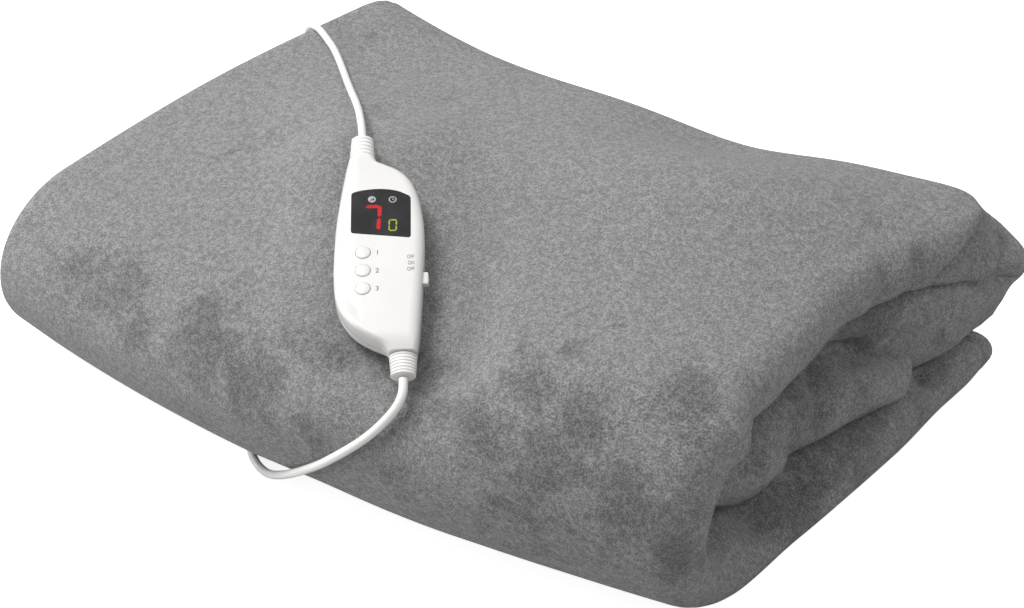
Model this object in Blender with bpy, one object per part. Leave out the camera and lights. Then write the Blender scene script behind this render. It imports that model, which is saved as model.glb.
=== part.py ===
"""Electric heated blanket, folded for storage, with its hand control and cords.

The cloth is folded in half twice along its length, which makes a pack of four plies, and the pack is
folded in half twice across, which makes four layers. The hand control rests on the top layer. One lead
runs from it over the left end to a coil and a mains plug behind the blanket. The other runs down the
front to where it goes into the cloth. Metres, +Z up, origin under the middle of the folded cloth.
"""
import math
from collections import namedtuple

import bmesh
import bpy
from mathutils import Matrix, Vector

# ---------------------------------------------------------------- driving dimensions (metres)
# The folded cloth
LAYER = 0.032                 # height of one four-ply layer before the pack settles
SLIT = 0.003                  # air between two layers
FRONT_Y = -0.098              # centre line of the big fold at the front
INNER_Y = -0.096              # centre line of the small fold inside it
BACK_Y = 0.142                # centre line of the fold at the back of the two upper layers
LOWER_EDGE_Y = 0.151          # back edge of the lowest layer
SECOND_EDGE_Y = 0.146         # back edge of the second layer
HALF_LENGTH = 0.228           # reach of the ends from the middle, before the pack settles
HALF_DEPTH = 0.165            # reach of front and back that the settling is measured against
PACK_MIDDLE = (-0.003, 0.006)  # where the middle of the even pack lies over the origin

# The hand control
CONTROL_PLACE = (-0.0214, -0.0760, 0.1182)
CONTROL_YAW = math.radians(37.6)
CONTROL_TILT = math.radians(12.5)
CONTROL_CLEARANCE = 0.0012    # between the control's underside and the cloth
SHELL_SEAM = 0.0090           # height of the joint between base and cover
SHELL_GAP = 0.0003
AXIS_HEIGHT = 0.0100          # height of the two lead exits over the underside
MAINS_EXIT = (-0.0093, 0.0578)     # x and y of the upper end of the housing, in its own axes
BLANKET_EXIT = (0.0114, -0.0652)   # and of the lower end
RELIEF_ROOT = 0.0060          # part of a strain relief that sits inside the housing
CORD_DIAMETER = 0.0048
BUTTON_CENTRES_Y = (-0.0087, -0.0198, -0.0308)
BUTTON_X = -0.0081
BUTTON_RADIUS = 0.0038
SWITCH_Y = -0.0222

# The mains lead's coil and plug
COIL_CENTRE = (-0.135, 0.1660)
COIL_MEAN_DIAMETER = 0.050
COIL_WIDTH = 0.0152
COIL_HEIGHT = 0.0150
COIL_BOTTOM = 0.0016
PLUG_PLACE = (-0.062, 0.1500)
PLUG_AXIS_HEIGHT = 0.0074

FIT_GAP = 0.0003              # between pieces that touch
LEAD_GAP = 0.0009             # between a strain relief's tip and its lead, which leaves it at a slant

# ---------------------------------------------------------------- how the pack is folded
Flat = namedtuple("Flat", "name y_start y_end level")
Fold = namedtuple("Fold", "name y_centre level radius start_deg turn_deg outward")

# Levels and radii are in layers. The run starts at the lowest layer's back edge.
FOLDING = (
    Flat("lowest layer", LOWER_EDGE_Y, FRONT_Y, 0.5),
    Fold("front fold", FRONT_Y, 2.0, 1.5, -90, -180, 1),
    Flat("top layer", FRONT_Y, BACK_Y, 3.5),
    Fold("back fold", BACK_Y, 3.0, 0.5, 90, -180, 1),
    Flat("third layer", BACK_Y, INNER_Y, 2.5),
    Fold("inner fold", INNER_Y, 2.0, 0.5, 90, 180, -1),
    Flat("second layer", INNER_Y, SECOND_EDGE_Y, 1.5),
)

# How far each stretch of the run reaches past the even right and left ends (metres).
End = namedtuple("End", "name right left")
ENDS = (
    End("lowest layer", -0.006, 0.004),
    End("front fold", -0.004, 0.000),
    End("top layer", -0.033, 0.000),
    End("back fold", -0.012, -0.002),
    End("third layer", -0.054, -0.004),
    End("inner fold", -0.046, -0.006),
    End("second layer", -0.021, -0.002),
)

# Height of the settled pack at its four corners, and how far each corner has crept.
Corner = namedtuple("Corner", "side_x side_y height shift_x shift_y")
CORNERS = (
    Corner(-1, -1, 0.099, -0.005, -0.002),
    Corner(1, -1, 0.122, -0.032, 0.036),
    Corner(-1, 1, 0.111, 0.049, -0.038),
    Corner(1, 1, 0.088, 0.016, -0.004),
)

# Broad swells on top of that, and how far the middle of each side bows out.
Swell = namedtuple("Swell", "x y radius height")
SWELLS = (
    Swell(0.092, 0.070, 0.105, 0.053),
    Swell(0.190, -0.100, 0.070, 0.0175),
    Swell(0.059, 0.129, 0.048, -0.0205),
    Swell(-0.105, 0.008, 0.050, 0.0125),
)
BOW_FRONT = 0.025
BOW_BACK = -0.028
BOW_LEFT = 0.009
BOW_RIGHT = 0.008

# The seat that the hand control presses into the cloth
SEAT_HALF_WIDTH = 0.020
SEAT_HALF_LENGTH = 0.066
SEAT_BLEND = 0.052

# The low hollow under the front where the blanket's lead goes in
HOLLOW_PLACE = (-0.074, -0.133)
HOLLOW_RADIUS = 0.017
HOLLOW_HEIGHT = 0.0090

HALF_PACK = LAYER / 2 - SLIT / 2
EVEN_HEIGHT = 4 * LAYER - SLIT


def fold_length(part):
    """Length of one stretch along the middle of the pack."""
    if isinstance(part, Flat):
        return abs(part.y_end - part.y_start)
    return math.radians(abs(part.turn_deg)) * part.radius * LAYER


RUN_LENGTH = sum(fold_length(part) for part in FOLDING)


def pack_middle(distance):
    """Place (y, z) and outward normal of the pack's middle at a distance along the run."""
    left_over = distance
    for part in FOLDING:
        length = fold_length(part)
        if left_over <= length or part is FOLDING[-1]:
            break
        left_over -= length
    if isinstance(part, Flat):
        travel = math.copysign(1, part.y_end - part.y_start)
        return part.y_start + travel * left_over, part.level * LAYER - SLIT / 2, 0.0, travel
    share = left_over / length
    angle = math.radians(part.start_deg + part.turn_deg * share)
    radius = part.radius * LAYER
    y = part.y_centre + radius * math.cos(angle)
    z = part.level * LAYER - SLIT / 2 + radius * math.sin(angle)
    return y, z, part.outward * math.cos(angle), part.outward * math.sin(angle)


def smooth_step(share):
    """0 to 1 with level ends."""
    share = min(max(share, 0.0), 1.0)
    return share * share * (3 - 2 * share)


def end_reach(distance):
    """How far the right and left ends reach at a distance along the run."""
    middles = []
    start = 0.0
    for part, end in zip(FOLDING, ENDS):
        length = fold_length(part)
        middles.append((start + length / 2, end))
        start += length
    if distance <= middles[0][0]:
        return middles[0][1].right, middles[0][1].left
    for (before, end_a), (after, end_b) in zip(middles, middles[1:]):
        if distance <= after:
            share = smooth_step((distance - before) / (after - before))
            return (end_a.right + (end_b.right - end_a.right) * share,
                    end_a.left + (end_b.left - end_a.left) * share)
    return middles[-1][1].right, middles[-1][1].left


def even_top(y):
    """Height of the even pack's top at a depth y."""
    reach = 1.5 * LAYER + HALF_PACK
    if y >= FRONT_Y:
        return EVEN_HEIGHT
    drop = max(reach * reach - (y - FRONT_Y) ** 2, 1e-6)
    return 2 * LAYER - SLIT / 2 + math.sqrt(drop)


def seat(x, y):
    """Height of the control's seat at a place, and how firmly it holds the cloth there."""
    dx = x - CONTROL_PLACE[0]
    dy = y - CONTROL_PLACE[1]
    across = dx * math.cos(CONTROL_YAW) + dy * math.sin(CONTROL_YAW)
    along = dy * math.cos(CONTROL_YAW) - dx * math.sin(CONTROL_YAW)
    height = CONTROL_PLACE[2] + along * math.tan(CONTROL_TILT) - CONTROL_CLEARANCE
    over_x = max(0.0, abs(across) - SEAT_HALF_WIDTH)
    over_y = max(0.0, abs(along) - SEAT_HALF_LENGTH)
    hold = 1 - smooth_step(math.hypot(over_x, over_y) / SEAT_BLEND)
    return height, hold


def settle(x, y, z):
    """Where a point of the even pack lies once the cloth has settled."""
    u = min(max(x / HALF_LENGTH, -1.1), 1.1)
    v = min(max(y / HALF_DEPTH, -1.1), 1.1)
    height = 0.0
    new_x = x + PACK_MIDDLE[0]
    new_y = y + PACK_MIDDLE[1]
    for corner in CORNERS:
        weight = (1 + corner.side_x * u) * (1 + corner.side_y * v) / 4
        height += weight * corner.height
        new_x += weight * corner.shift_x
        new_y += weight * corner.shift_y
    for swell in SWELLS:
        away = (x - swell.x) ** 2 + (y - swell.y) ** 2
        height += swell.height * math.exp(-away / (2 * swell.radius ** 2))
    new_y += max(0.0, 1 - u * u) * v * (BOW_FRONT if v < 0 else BOW_BACK)
    new_x += max(0.0, 1 - v * v) * u * (BOW_LEFT if u < 0 else BOW_RIGHT)
    seat_height, hold = seat(new_x, new_y)
    height += hold * (EVEN_HEIGHT * seat_height / even_top(y) - height)
    new_z = z * height / EVEN_HEIGHT
    away = math.hypot(new_x - HOLLOW_PLACE[0], new_y - HOLLOW_PLACE[1]) / HOLLOW_RADIUS
    lift = HOLLOW_HEIGHT * (1 - smooth_step(away))
    new_z += lift * max(0.0, 1 - z / LAYER)
    return new_x, new_y, new_z


def cloth_point(x, distance, lift):
    """A settled point over the pack's outer face, a lift away from it; x goes on round a lip."""
    y, z, normal_y, normal_z = pack_middle(distance)
    out = HALF_PACK + lift
    lip = -HALF_LENGTH - end_reach(distance)[1] + HALF_PACK
    if x < lip:
        angle = (lip - x) / HALF_PACK
        x = lip - out * math.sin(angle)
        out *= math.cos(angle)
    return Vector(settle(x, y + normal_y * out, z + normal_z * out))


# ---------------------------------------------------------------- helpers
def make_material(name, colour, roughness, metallic=0.0):
    """A plain Principled BSDF material."""
    material = bpy.data.materials.new(name)
    material.use_nodes = True
    shader = material.node_tree.nodes["Principled BSDF"]
    shader.inputs["Base Color"].default_value = (*colour, 1.0)
    shader.inputs["Roughness"].default_value = roughness
    shader.inputs["Metallic"].default_value = metallic
    return material


def link_object(name, data, material, parent=None, place=(0, 0, 0)):
    """Put a mesh or curve in the scene under a name."""
    thing = bpy.data.objects.new(name, data)
    bpy.context.scene.collection.objects.link(thing)
    thing.data.materials.append(material)
    thing.parent = parent
    thing.location = place
    return thing


def finish_mesh(bm, name, smooth_angle=35):
    """Turn a bmesh into a mesh with its faces pointing out."""
    bmesh.ops.recalc_face_normals(bm, faces=bm.faces)
    mesh = bpy.data.meshes.new(name)
    bm.to_mesh(mesh)
    bm.free()
    mesh.shade_smooth()
    mesh.set_sharp_from_angle(angle=math.radians(smooth_angle))
    return mesh


def add_rings(bm, rings):
    """Join rings of points into a tube of quads, and return the rings' vertices."""
    made = [[bm.verts.new(point) for point in ring] for ring in rings]
    for ring_a, ring_b in zip(made, made[1:]):
        count = len(ring_a)
        for i in range(count):
            j = (i + 1) % count
            bm.faces.new((ring_a[i], ring_a[j], ring_b[j], ring_b[i]))
    return made


def spin_profile(bm, profile, axis, segments):
    """Turn an open (radius, height) profile whose ends lie on the axis into a closed solid."""
    verts = [bm.verts.new((radius, 0, height)) for radius, height in profile]
    edges = [bm.edges.new(pair) for pair in zip(verts, verts[1:])]
    bmesh.ops.spin(bm, geom=verts + edges, cent=(0, 0, 0), axis=axis, angle=math.tau,
                   steps=segments, use_merge=True, use_duplicate=False)
    bmesh.ops.remove_doubles(bm, verts=bm.verts, dist=1e-6)


def cut(target, cutter):
    """Take a hidden cutter's shape out of a target."""
    cutter.hide_render = True
    cutter.display_type = "WIRE"
    modifier = target.modifiers.new("cut_" + cutter.name, "BOOLEAN")
    modifier.operation = "DIFFERENCE"
    modifier.object = cutter
    modifier.solver = "EXACT"


def rounded_box_mesh(name, size, radius, segments=3):
    """A box about its own middle, with every edge rounded."""
    bm = bmesh.new()
    bmesh.ops.create_cube(bm, size=1.0)
    bmesh.ops.scale(bm, vec=size, verts=bm.verts)
    bmesh.ops.bevel(bm, geom=bm.edges[:], offset=radius, offset_type="OFFSET", segments=segments,
                    profile=0.5, affect="EDGES", material=-1)
    return finish_mesh(bm, name)


def smooth_route(points, spacing):
    """Even points along a smooth curve through the route's own points."""
    padded = [2 * points[0] - points[1]] + list(points) + [2 * points[-1] - points[-2]]
    fine = []
    steps = 24
    for p0, p1, p2, p3 in zip(padded, padded[1:], padded[2:], padded[3:]):
        for step in range(steps):
            t = step / steps
            fine.append(0.5 * (2 * p1 + (p2 - p0) * t + (2 * p0 - 5 * p1 + 4 * p2 - p3) * t * t
                               + (3 * p1 - p0 - 3 * p2 + p3) * t ** 3))
    fine.append(points[-1].copy())
    lengths = [0.0]
    for a, b in zip(fine, fine[1:]):
        lengths.append(lengths[-1] + (b - a).length)
    count = max(2, round(lengths[-1] / spacing))
    even = []
    index = 0
    for step in range(count + 1):
        wanted = lengths[-1] * step / count
        while index < len(fine) - 2 and lengths[index + 1] < wanted:
            index += 1
        share = (wanted - lengths[index]) / (lengths[index + 1] - lengths[index])
        even.append(fine[index].lerp(fine[index + 1], min(share, 1.0)))
    return even


def add_cord(name, points, material, spacing=2.6 * CORD_DIAMETER):
    """A round cord along a route, as a curve with filled ends."""
    curve = bpy.data.curves.new(name, "CURVE")
    curve.dimensions = "3D"
    curve.bevel_depth = CORD_DIAMETER / 2
    curve.bevel_resolution = 2
    curve.use_fill_caps = True
    route = smooth_route(points, spacing)
    spline = curve.splines.new("POLY")
    spline.points.add(len(route) - 1)
    for spot, point in zip(spline.points, route):
        spot.co = (*point, 1.0)
    return link_object(name, curve, material)


# ---------------------------------------------------------------- the cloth
ROW_STEPS = 13
LIP_STEPS = 5
FLAT_STEPS = 8
BIG_FOLD_STEPS = 14
SMALL_FOLD_STEPS = 6


def run_stations():
    """Distances along the run at which the pack has a ring of points."""
    stations = [0.0]
    start = 0.0
    for part in FOLDING:
        length = fold_length(part)
        steps = FLAT_STEPS
        if isinstance(part, Fold):
            steps = BIG_FOLD_STEPS if part.radius > 1 else SMALL_FOLD_STEPS
        stations += [start + length * (i + 1) / steps for i in range(steps)]
        start += length
    return stations


def pack_ring(distance, overhang=0.0, thickness=1.0):
    """One ring round the pack: top row, right lip, bottom row, left lip."""
    right, left = end_reach(distance)
    right_centre = HALF_LENGTH + right - HALF_PACK
    left_centre = -HALF_LENGTH - left + HALF_PACK
    outline = []
    for i in range(ROW_STEPS + 1):
        outline.append((left_centre + (right_centre - left_centre) * i / ROW_STEPS, 1.0))
    for i in range(1, LIP_STEPS):
        angle = math.pi / 2 - math.pi * i / LIP_STEPS
        outline.append((right_centre + HALF_PACK * math.cos(angle), math.sin(angle)))
    for i in range(ROW_STEPS + 1):
        outline.append((right_centre + (left_centre - right_centre) * i / ROW_STEPS, -1.0))
    for i in range(1, LIP_STEPS):
        angle = -math.pi / 2 - math.pi * i / LIP_STEPS
        outline.append((left_centre + HALF_PACK * math.cos(angle), math.sin(angle)))
    y, z, normal_y, normal_z = pack_middle(distance)
    along_y = normal_z * overhang
    ring = []
    for x, side in outline:
        off = HALF_PACK * side * thickness
        ring.append(settle(x, y + along_y + normal_y * off, z + normal_z * off))
    return ring


def close_pack_end(bm, ring):
    """Close one free edge of the pack with a strip between its top and bottom rows."""
    first = 0
    last = ROW_STEPS
    top = ring[first:last + 1]
    right_lip = ring[last + 1:last + LIP_STEPS]
    bottom = ring[last + LIP_STEPS:2 * ROW_STEPS + LIP_STEPS + 1][::-1]
    left_lip = ring[2 * ROW_STEPS + LIP_STEPS + 1:]
    for i in range(ROW_STEPS):
        bm.faces.new((top[i], top[i + 1], bottom[i + 1], bottom[i]))
    bm.faces.new([top[-1]] + right_lip + [bottom[-1]])
    bm.faces.new([bottom[0]] + left_lip + [top[0]])


def make_blanket(material):
    """The whole folded cloth as one solid, with rounded lips at its ends and free edges."""
    bm = bmesh.new()
    rings = []
    edge_steps = (75, 50, 25)
    for degrees in edge_steps:
        angle = math.radians(degrees)
        rings.append(pack_ring(0.0, -HALF_PACK * math.sin(angle), math.cos(angle)))
    rings += [pack_ring(distance) for distance in run_stations()]
    for degrees in reversed(edge_steps):
        angle = math.radians(degrees)
        rings.append(pack_ring(RUN_LENGTH, HALF_PACK * math.sin(angle), math.cos(angle)))
    made = add_rings(bm, rings)
    close_pack_end(bm, made[0])
    close_pack_end(bm, made[-1])
    bmesh.ops.triangulate(bm, faces=bm.faces)
    return link_object("blanket", finish_mesh(bm, "blanket"), material)


# ---------------------------------------------------------------- the hand control's shells
Station = namedtuple("Station", "y left right bottom top corner")
# The outline of the housing from its upper to its lower end, in its own axes (millimetres).
HOUSING = (
    Station(57.8, -16.2, -2.7, 3.6, 16.4, 5.6),
    Station(53.5, -17.0, -0.9, 3.2, 17.0, 6.2),
    Station(49.4, -17.7, 5.2, 1.8, 18.0, 7.0),
    Station(44.8, -18.3, 11.8, 0.6, 19.0, 7.6),
    Station(37.6, -19.3, 17.0, 0.0, 19.8, 8.0),
    Station(26.2, -20.8, 20.6, 0.0, 20.0, 8.0),
    Station(11.0, -22.4, 22.6, 0.0, 20.0, 8.0),
    Station(-5.0, -23.1, 22.8, 0.0, 20.0, 8.0),
    Station(-20.0, -23.1, 22.0, 0.0, 20.0, 8.0),
    Station(-34.0, -21.9, 21.2, 0.0, 20.0, 8.0),
    Station(-44.0, -18.6, 20.6, 0.0, 20.0, 8.0),
    Station(-52.0, -12.8, 20.0, 0.6, 19.9, 7.6),
    Station(-57.6, -5.2, 19.6, 1.8, 19.6, 7.0),
    Station(-61.6, 1.6, 19.0, 3.0, 18.6, 6.2),
    Station(-65.2, 4.4, 18.4, 3.6, 17.0, 5.8),
)
HOUSING_STEPS = 2
CORNER_STEPS = 4
MILLIMETRE = 0.001


def housing_stations():
    """The table's rows with smooth rows between them."""
    rows = [HOUSING[0]] + list(HOUSING) + [HOUSING[-1]]
    made = []
    for r0, r1, r2, r3 in zip(rows, rows[1:], rows[2:], rows[3:]):
        for step in range(HOUSING_STEPS):
            t = step / HOUSING_STEPS
            values = []
            for a, b, c, d in zip(r0, r1, r2, r3):
                values.append(0.5 * (2 * b + (c - a) * t + (2 * a - 5 * b + 4 * c - d) * t * t
                                     + (3 * b - a - 3 * c + d) * t ** 3))
            made.append(Station(*values))
    made.append(HOUSING[-1])
    return made


def housing_ring(row):
    """A rounded rectangle across the housing at one station."""
    ring = []
    corners = ((row.right, row.top, 0), (row.left, row.top, 90),
               (row.left, row.bottom, 180), (row.right, row.bottom, 270))
    for x, z, start in corners:
        side_x = 1 if x == row.right else -1
        side_z = 1 if z == row.top else -1
        for i in range(CORNER_STEPS + 1):
            angle = math.radians(start + 90 * i / CORNER_STEPS)
            ring.append(Vector((x - side_x * row.corner + row.corner * math.cos(angle), row.y,
                                z - side_z * row.corner + row.corner * math.sin(angle)))
                        * MILLIMETRE)
    return ring


def housing_half(keep_above):
    """The housing cut at its seam, keeping the part above or below it."""
    bm = bmesh.new()
    made = add_rings(bm, [housing_ring(row) for row in housing_stations()])
    bm.faces.new(made[0])
    bm.faces.new(made[-1])
    bmesh.ops.recalc_face_normals(bm, faces=bm.faces)
    height = SHELL_SEAM + (SHELL_GAP / 2 if keep_above else -SHELL_GAP / 2)
    result = bmesh.ops.bisect_plane(bm, geom=bm.verts[:] + bm.edges[:] + bm.faces[:],
                                    plane_co=(0, 0, height), plane_no=(0, 0, 1),
                                    clear_inner=keep_above, clear_outer=not keep_above)
    rim = [part for part in result["geom_cut"] if isinstance(part, bmesh.types.BMEdge)]
    bmesh.ops.contextual_create(bm, geom=rim)
    return bm


def socket_cutter(name, exit_place, direction, frame):
    """A round pocket for a strain relief's root, opening out of the housing's end."""
    bm = bmesh.new()
    depth = RELIEF_ROOT + 2 * FIT_GAP
    length = depth + 0.004
    bmesh.ops.create_cone(bm, cap_ends=True, segments=24, radius1=ROOT_RADIUS + FIT_GAP,
                          radius2=ROOT_RADIUS + FIT_GAP, depth=length,
                          matrix=Matrix.Rotation(math.pi / 2, 4, "X"))
    middle = exit_place[1] + direction * (length / 2 - depth)
    mesh = finish_mesh(bm, name)
    cutter = bpy.data.objects.new(name, mesh)
    bpy.context.scene.collection.objects.link(cutter)
    cutter.parent = frame
    cutter.location = (exit_place[0], middle, AXIS_HEIGHT)
    return cutter


# The display window and its pocket
WINDOW_OUTLINE = ((-0.0141, 0.0038), (0.0158, 0.0002), (0.0160, 0.0262), (0.0090, 0.0300),
                  (0.0005, 0.0314), (-0.0080, 0.0308), (-0.0141, 0.0292))
WINDOW_THICKNESS = 0.0012
WINDOW_PROUD = 0.0001
HOUSING_TOP = 0.0200


def window_mesh(name, grow, bottom, top):
    """The window's outline, grown a little, as a plate with softened corners."""
    centre = Vector((sum(p[0] for p in WINDOW_OUTLINE) / len(WINDOW_OUTLINE),
                     sum(p[1] for p in WINDOW_OUTLINE) / len(WINDOW_OUTLINE)))
    bm = bmesh.new()
    lower = []
    for place in WINDOW_OUTLINE:
        offset = Vector(place) - centre
        spot = centre + offset * (1 + grow / offset.length)
        lower.append(bm.verts.new((spot.x, spot.y, bottom)))
    face = bm.faces.new(lower)
    raised = bmesh.ops.extrude_face_region(bm, geom=[face])
    verts = [part for part in raised["geom"] if isinstance(part, bmesh.types.BMVert)]
    bmesh.ops.translate(bm, verts=verts, vec=(0, 0, top - bottom))
    uprights = [edge for edge in bm.edges
                if abs(edge.verts[0].co.z - edge.verts[1].co.z) > (top - bottom) / 2]
    bmesh.ops.bevel(bm, geom=uprights, offset=0.0008, offset_type="OFFSET", segments=2,
                    profile=0.5, affect="EDGES", material=-1)
    return finish_mesh(bm, name)


def button_mesh(name):
    """A low round button with a softened rim, about its own resting face."""
    bm = bmesh.new()
    crown = 0.0009
    rim = 0.0006
    profile = ((0.0, crown), (BUTTON_RADIUS * 0.55, crown - 0.0001), (BUTTON_RADIUS - rim, crown - 0.0003),
               (BUTTON_RADIUS, crown - 0.0009), (BUTTON_RADIUS, -0.0022), (0.0, -0.0022))
    spin_profile(bm, profile, (0, 0, 1), 24)
    return finish_mesh(bm, name)


def add_plain_cutter(name, mesh, frame, place):
    """A cutter object that rides in the control's axes."""
    cutter = bpy.data.objects.new(name, mesh)
    bpy.context.scene.collection.objects.link(cutter)
    cutter.parent = frame
    cutter.location = place
    return cutter


SWITCH_SIDE_X = 0.0212        # the slot's floor starts inside the right wall here
SWITCH_SLOT = (0.0060, 0.0130, 0.0044)
SWITCH_NUB = (0.0046, 0.0074, 0.0036)
SWITCH_HEIGHT = 0.0142


def make_control(frame, materials):
    """Base, cover, window, buttons and slide switch of the hand control."""
    base = link_object("control_base", finish_mesh(housing_half(False), "control_base"),
                       materials["shell"], frame)
    cover = link_object("control_cover", finish_mesh(housing_half(True), "control_cover"),
                        materials["shell"], frame)
    mains_socket = socket_cutter("cutter_mains_socket", MAINS_EXIT, 1, frame)
    blanket_socket = socket_cutter("cutter_blanket_socket", BLANKET_EXIT, -1, frame)
    for shell in (base, cover):
        cut(shell, mains_socket)
        cut(shell, blanket_socket)

    pocket_floor = HOUSING_TOP - WINDOW_THICKNESS
    pocket = add_plain_cutter("cutter_window", window_mesh("cutter_window", FIT_GAP, pocket_floor,
                                                           HOUSING_TOP + 0.002), frame, (0, 0, 0))
    cut(cover, pocket)
    window = window_mesh("display_window", 0.0, pocket_floor + FIT_GAP, HOUSING_TOP + WINDOW_PROUD)
    link_object("display_window", window, materials["glass"], frame)

    well_depth = 0.0034
    names = ("button_upper", "button_middle", "button_lower")
    mesh = button_mesh("button")
    for name, y in zip(names, BUTTON_CENTRES_Y):
        bm = bmesh.new()
        bmesh.ops.create_cone(bm, cap_ends=True, segments=24, radius1=BUTTON_RADIUS + FIT_GAP,
                              radius2=BUTTON_RADIUS + FIT_GAP, depth=2 * well_depth)
        well = add_plain_cutter("cutter_" + name, finish_mesh(bm, "cutter_" + name), frame,
                                (BUTTON_X, y, HOUSING_TOP))
        cut(cover, well)
        link_object(name, mesh, materials["button"], frame, (BUTTON_X, y, HOUSING_TOP))

    slot_mesh = rounded_box_mesh("cutter_slot", SWITCH_SLOT, 0.0006, 2)
    slot = add_plain_cutter("cutter_slot", slot_mesh, frame,
                            (SWITCH_SIDE_X + SWITCH_SLOT[0] / 2 - 0.0016, SWITCH_Y, SWITCH_HEIGHT))
    cut(cover, slot)
    nub_mesh = rounded_box_mesh("slide_switch", SWITCH_NUB, 0.0008, 2)
    link_object("slide_switch", nub_mesh, materials["button"], frame,
                (SWITCH_SIDE_X + SWITCH_NUB[0] / 2 - 0.0016 + FIT_GAP, SWITCH_Y, SWITCH_HEIGHT))


# ---------------------------------------------------------------- strain reliefs
ROOT_RADIUS = 0.0044
RELIEF_FLATNESS = 0.78        # height over width of the ribbed sleeve, whose root is round


def relief_profile(length, wide, narrow, ribs):
    """Half section of a ribbed, tapering strain relief, from its root to its tip."""
    profile = [(0.0, 0.0), (ROOT_RADIUS, 0.0), (ROOT_RADIUS, RELIEF_ROOT + FIT_GAP)]
    start = RELIEF_ROOT + FIT_GAP
    pitch = (length - start) / ribs
    groove = 0.0007
    for rib in range(ribs):
        low = start + rib * pitch
        radius = wide + (narrow - wide) * rib / (ribs - 1)
        profile.append((radius, low))
        profile.append((radius, low + 0.62 * pitch))
        if rib < ribs - 1:
            profile.append((radius - groove, low + 0.70 * pitch))
            profile.append((radius - groove, low + 0.92 * pitch))
    profile.append((narrow - 0.0006, length))
    profile.append((0.0, length))
    return profile


def add_relief(name, frame, exit_place, direction, length, wide, narrow, ribs, material):
    """A strain relief whose root sits in the housing and whose tip points along the lead."""
    bm = bmesh.new()
    spin_profile(bm, relief_profile(length, wide, narrow, ribs), (0, 0, 1), 20)
    for vert in bm.verts:
        if math.hypot(vert.co.x, vert.co.y) > ROOT_RADIUS + 1e-5 or vert.co.z > RELIEF_ROOT + 2 * FIT_GAP:
            vert.co.y *= RELIEF_FLATNESS
    turn = Matrix.Rotation(-math.pi / 2 * direction, 4, "X")
    bmesh.ops.transform(bm, matrix=turn, verts=bm.verts)
    root = (exit_place[0], exit_place[1] - direction * RELIEF_ROOT, AXIS_HEIGHT)
    return link_object(name, finish_mesh(bm, name), material, frame, root)


# ---------------------------------------------------------------- leads, coil and plug
RELIEF_LENGTH_MAINS = 0.0205
RELIEF_LENGTH_BLANKET = 0.0180


def control_point(x, y, z):
    """A point in the control's own axes, as a world point."""
    turn = Matrix.Rotation(CONTROL_YAW, 4, "Z") @ Matrix.Rotation(CONTROL_TILT, 4, "X")
    return Vector(CONTROL_PLACE) + (turn @ Vector((x, y, z)))


CORD_LIFT = CORD_DIAMETER / 2 + 0.0011   # a lead's centre over the cloth that it lies on
FLOOR_Z = CORD_DIAMETER / 2 + 0.0002


def mains_route():
    """The mains lead from the control over the left end, down and round to the coil."""
    tip = MAINS_EXIT[1] - RELIEF_ROOT + RELIEF_LENGTH_MAINS + LEAD_GAP
    return [
        control_point(MAINS_EXIT[0], tip, AXIS_HEIGHT),
        Vector((-0.0770, -0.0199, 0.1446)),
        Vector((-0.0836, -0.0128, 0.1432)),
        Vector((-0.0932, -0.0027, 0.1389)),
        Vector((-0.1060, 0.0098, 0.1322)),
        Vector((-0.1190, 0.0218, 0.1257)),
        Vector((-0.1320, 0.0337, 0.1201)),
        Vector((-0.1442, 0.0447, 0.1164)),
        Vector((-0.1545, 0.0534, 0.1145)),
        Vector((-0.1644, 0.0609, 0.1135)),
        Vector((-0.1738, 0.0665, 0.1131)),
        Vector((-0.1824, 0.0709, 0.1132)),
        Vector((-0.1898, 0.0741, 0.1119)),
        Vector((-0.1965, 0.0772, 0.1075)),
        Vector((-0.2018, 0.0804, 0.0996)),
        Vector((-0.2044, 0.0835, 0.0893)),
        Vector((-0.2048, 0.0866, 0.0775)),
        Vector((-0.2046, 0.0896, 0.0640)),
        Vector((-0.2036, 0.0926, 0.0490)),
        Vector((-0.2038, 0.0957, 0.0345)),
        Vector((-0.2048, 0.0994, 0.0210)),
        Vector((-0.2064, 0.1045, 0.0102)),
        Vector((-0.2068, 0.1122, 0.0040)),
        Vector((-0.2040, 0.1215, FLOOR_Z)),
        Vector((-0.1978, 0.1302, FLOOR_Z)),
        Vector((-0.1886, 0.1362, FLOOR_Z)),
        Vector((-0.1770, 0.1385, FLOOR_Z)),
        Vector((-0.1640, 0.1370, FLOOR_Z)),
        Vector((-0.1510, 0.1346, FLOOR_Z)),
    ]


def blanket_route():
    """The blanket's own lead from the control down the front and in under it."""
    tip = BLANKET_EXIT[1] + RELIEF_ROOT - RELIEF_LENGTH_BLANKET - LEAD_GAP
    return [
        control_point(BLANKET_EXIT[0], tip, AXIS_HEIGHT),
        Vector((0.0390, -0.1364, 0.1088)),
        Vector((0.0401, -0.1411, 0.1058)),
        Vector((0.0392, -0.1461, 0.1020)),
        Vector((0.0368, -0.1508, 0.0973)),
        Vector((0.0330, -0.1550, 0.0915)),
        Vector((0.0275, -0.1589, 0.0845)),
        Vector((0.0207, -0.1614, 0.0766)),
        Vector((0.0128, -0.1627, 0.0675)),
        Vector((0.0039, -0.1630, 0.0574)),
        Vector((-0.0060, -0.1622, 0.0469)),
        Vector((-0.0162, -0.1604, 0.0363)),
        Vector((-0.0259, -0.1572, 0.0261)),
        Vector((-0.0351, -0.1535, 0.0165)),
        Vector((-0.0436, -0.1502, 0.0088)),
        Vector((-0.0515, -0.1474, 0.0042)),
        Vector((-0.0590, -0.1445, FLOOR_Z)),
        Vector((-0.0660, -0.1405, FLOOR_Z)),
        Vector((-0.0718, -0.1351, FLOOR_Z + 0.0002)),
        Vector((-0.0758, -0.1284, FLOOR_Z + 0.0008)),
    ]


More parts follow.
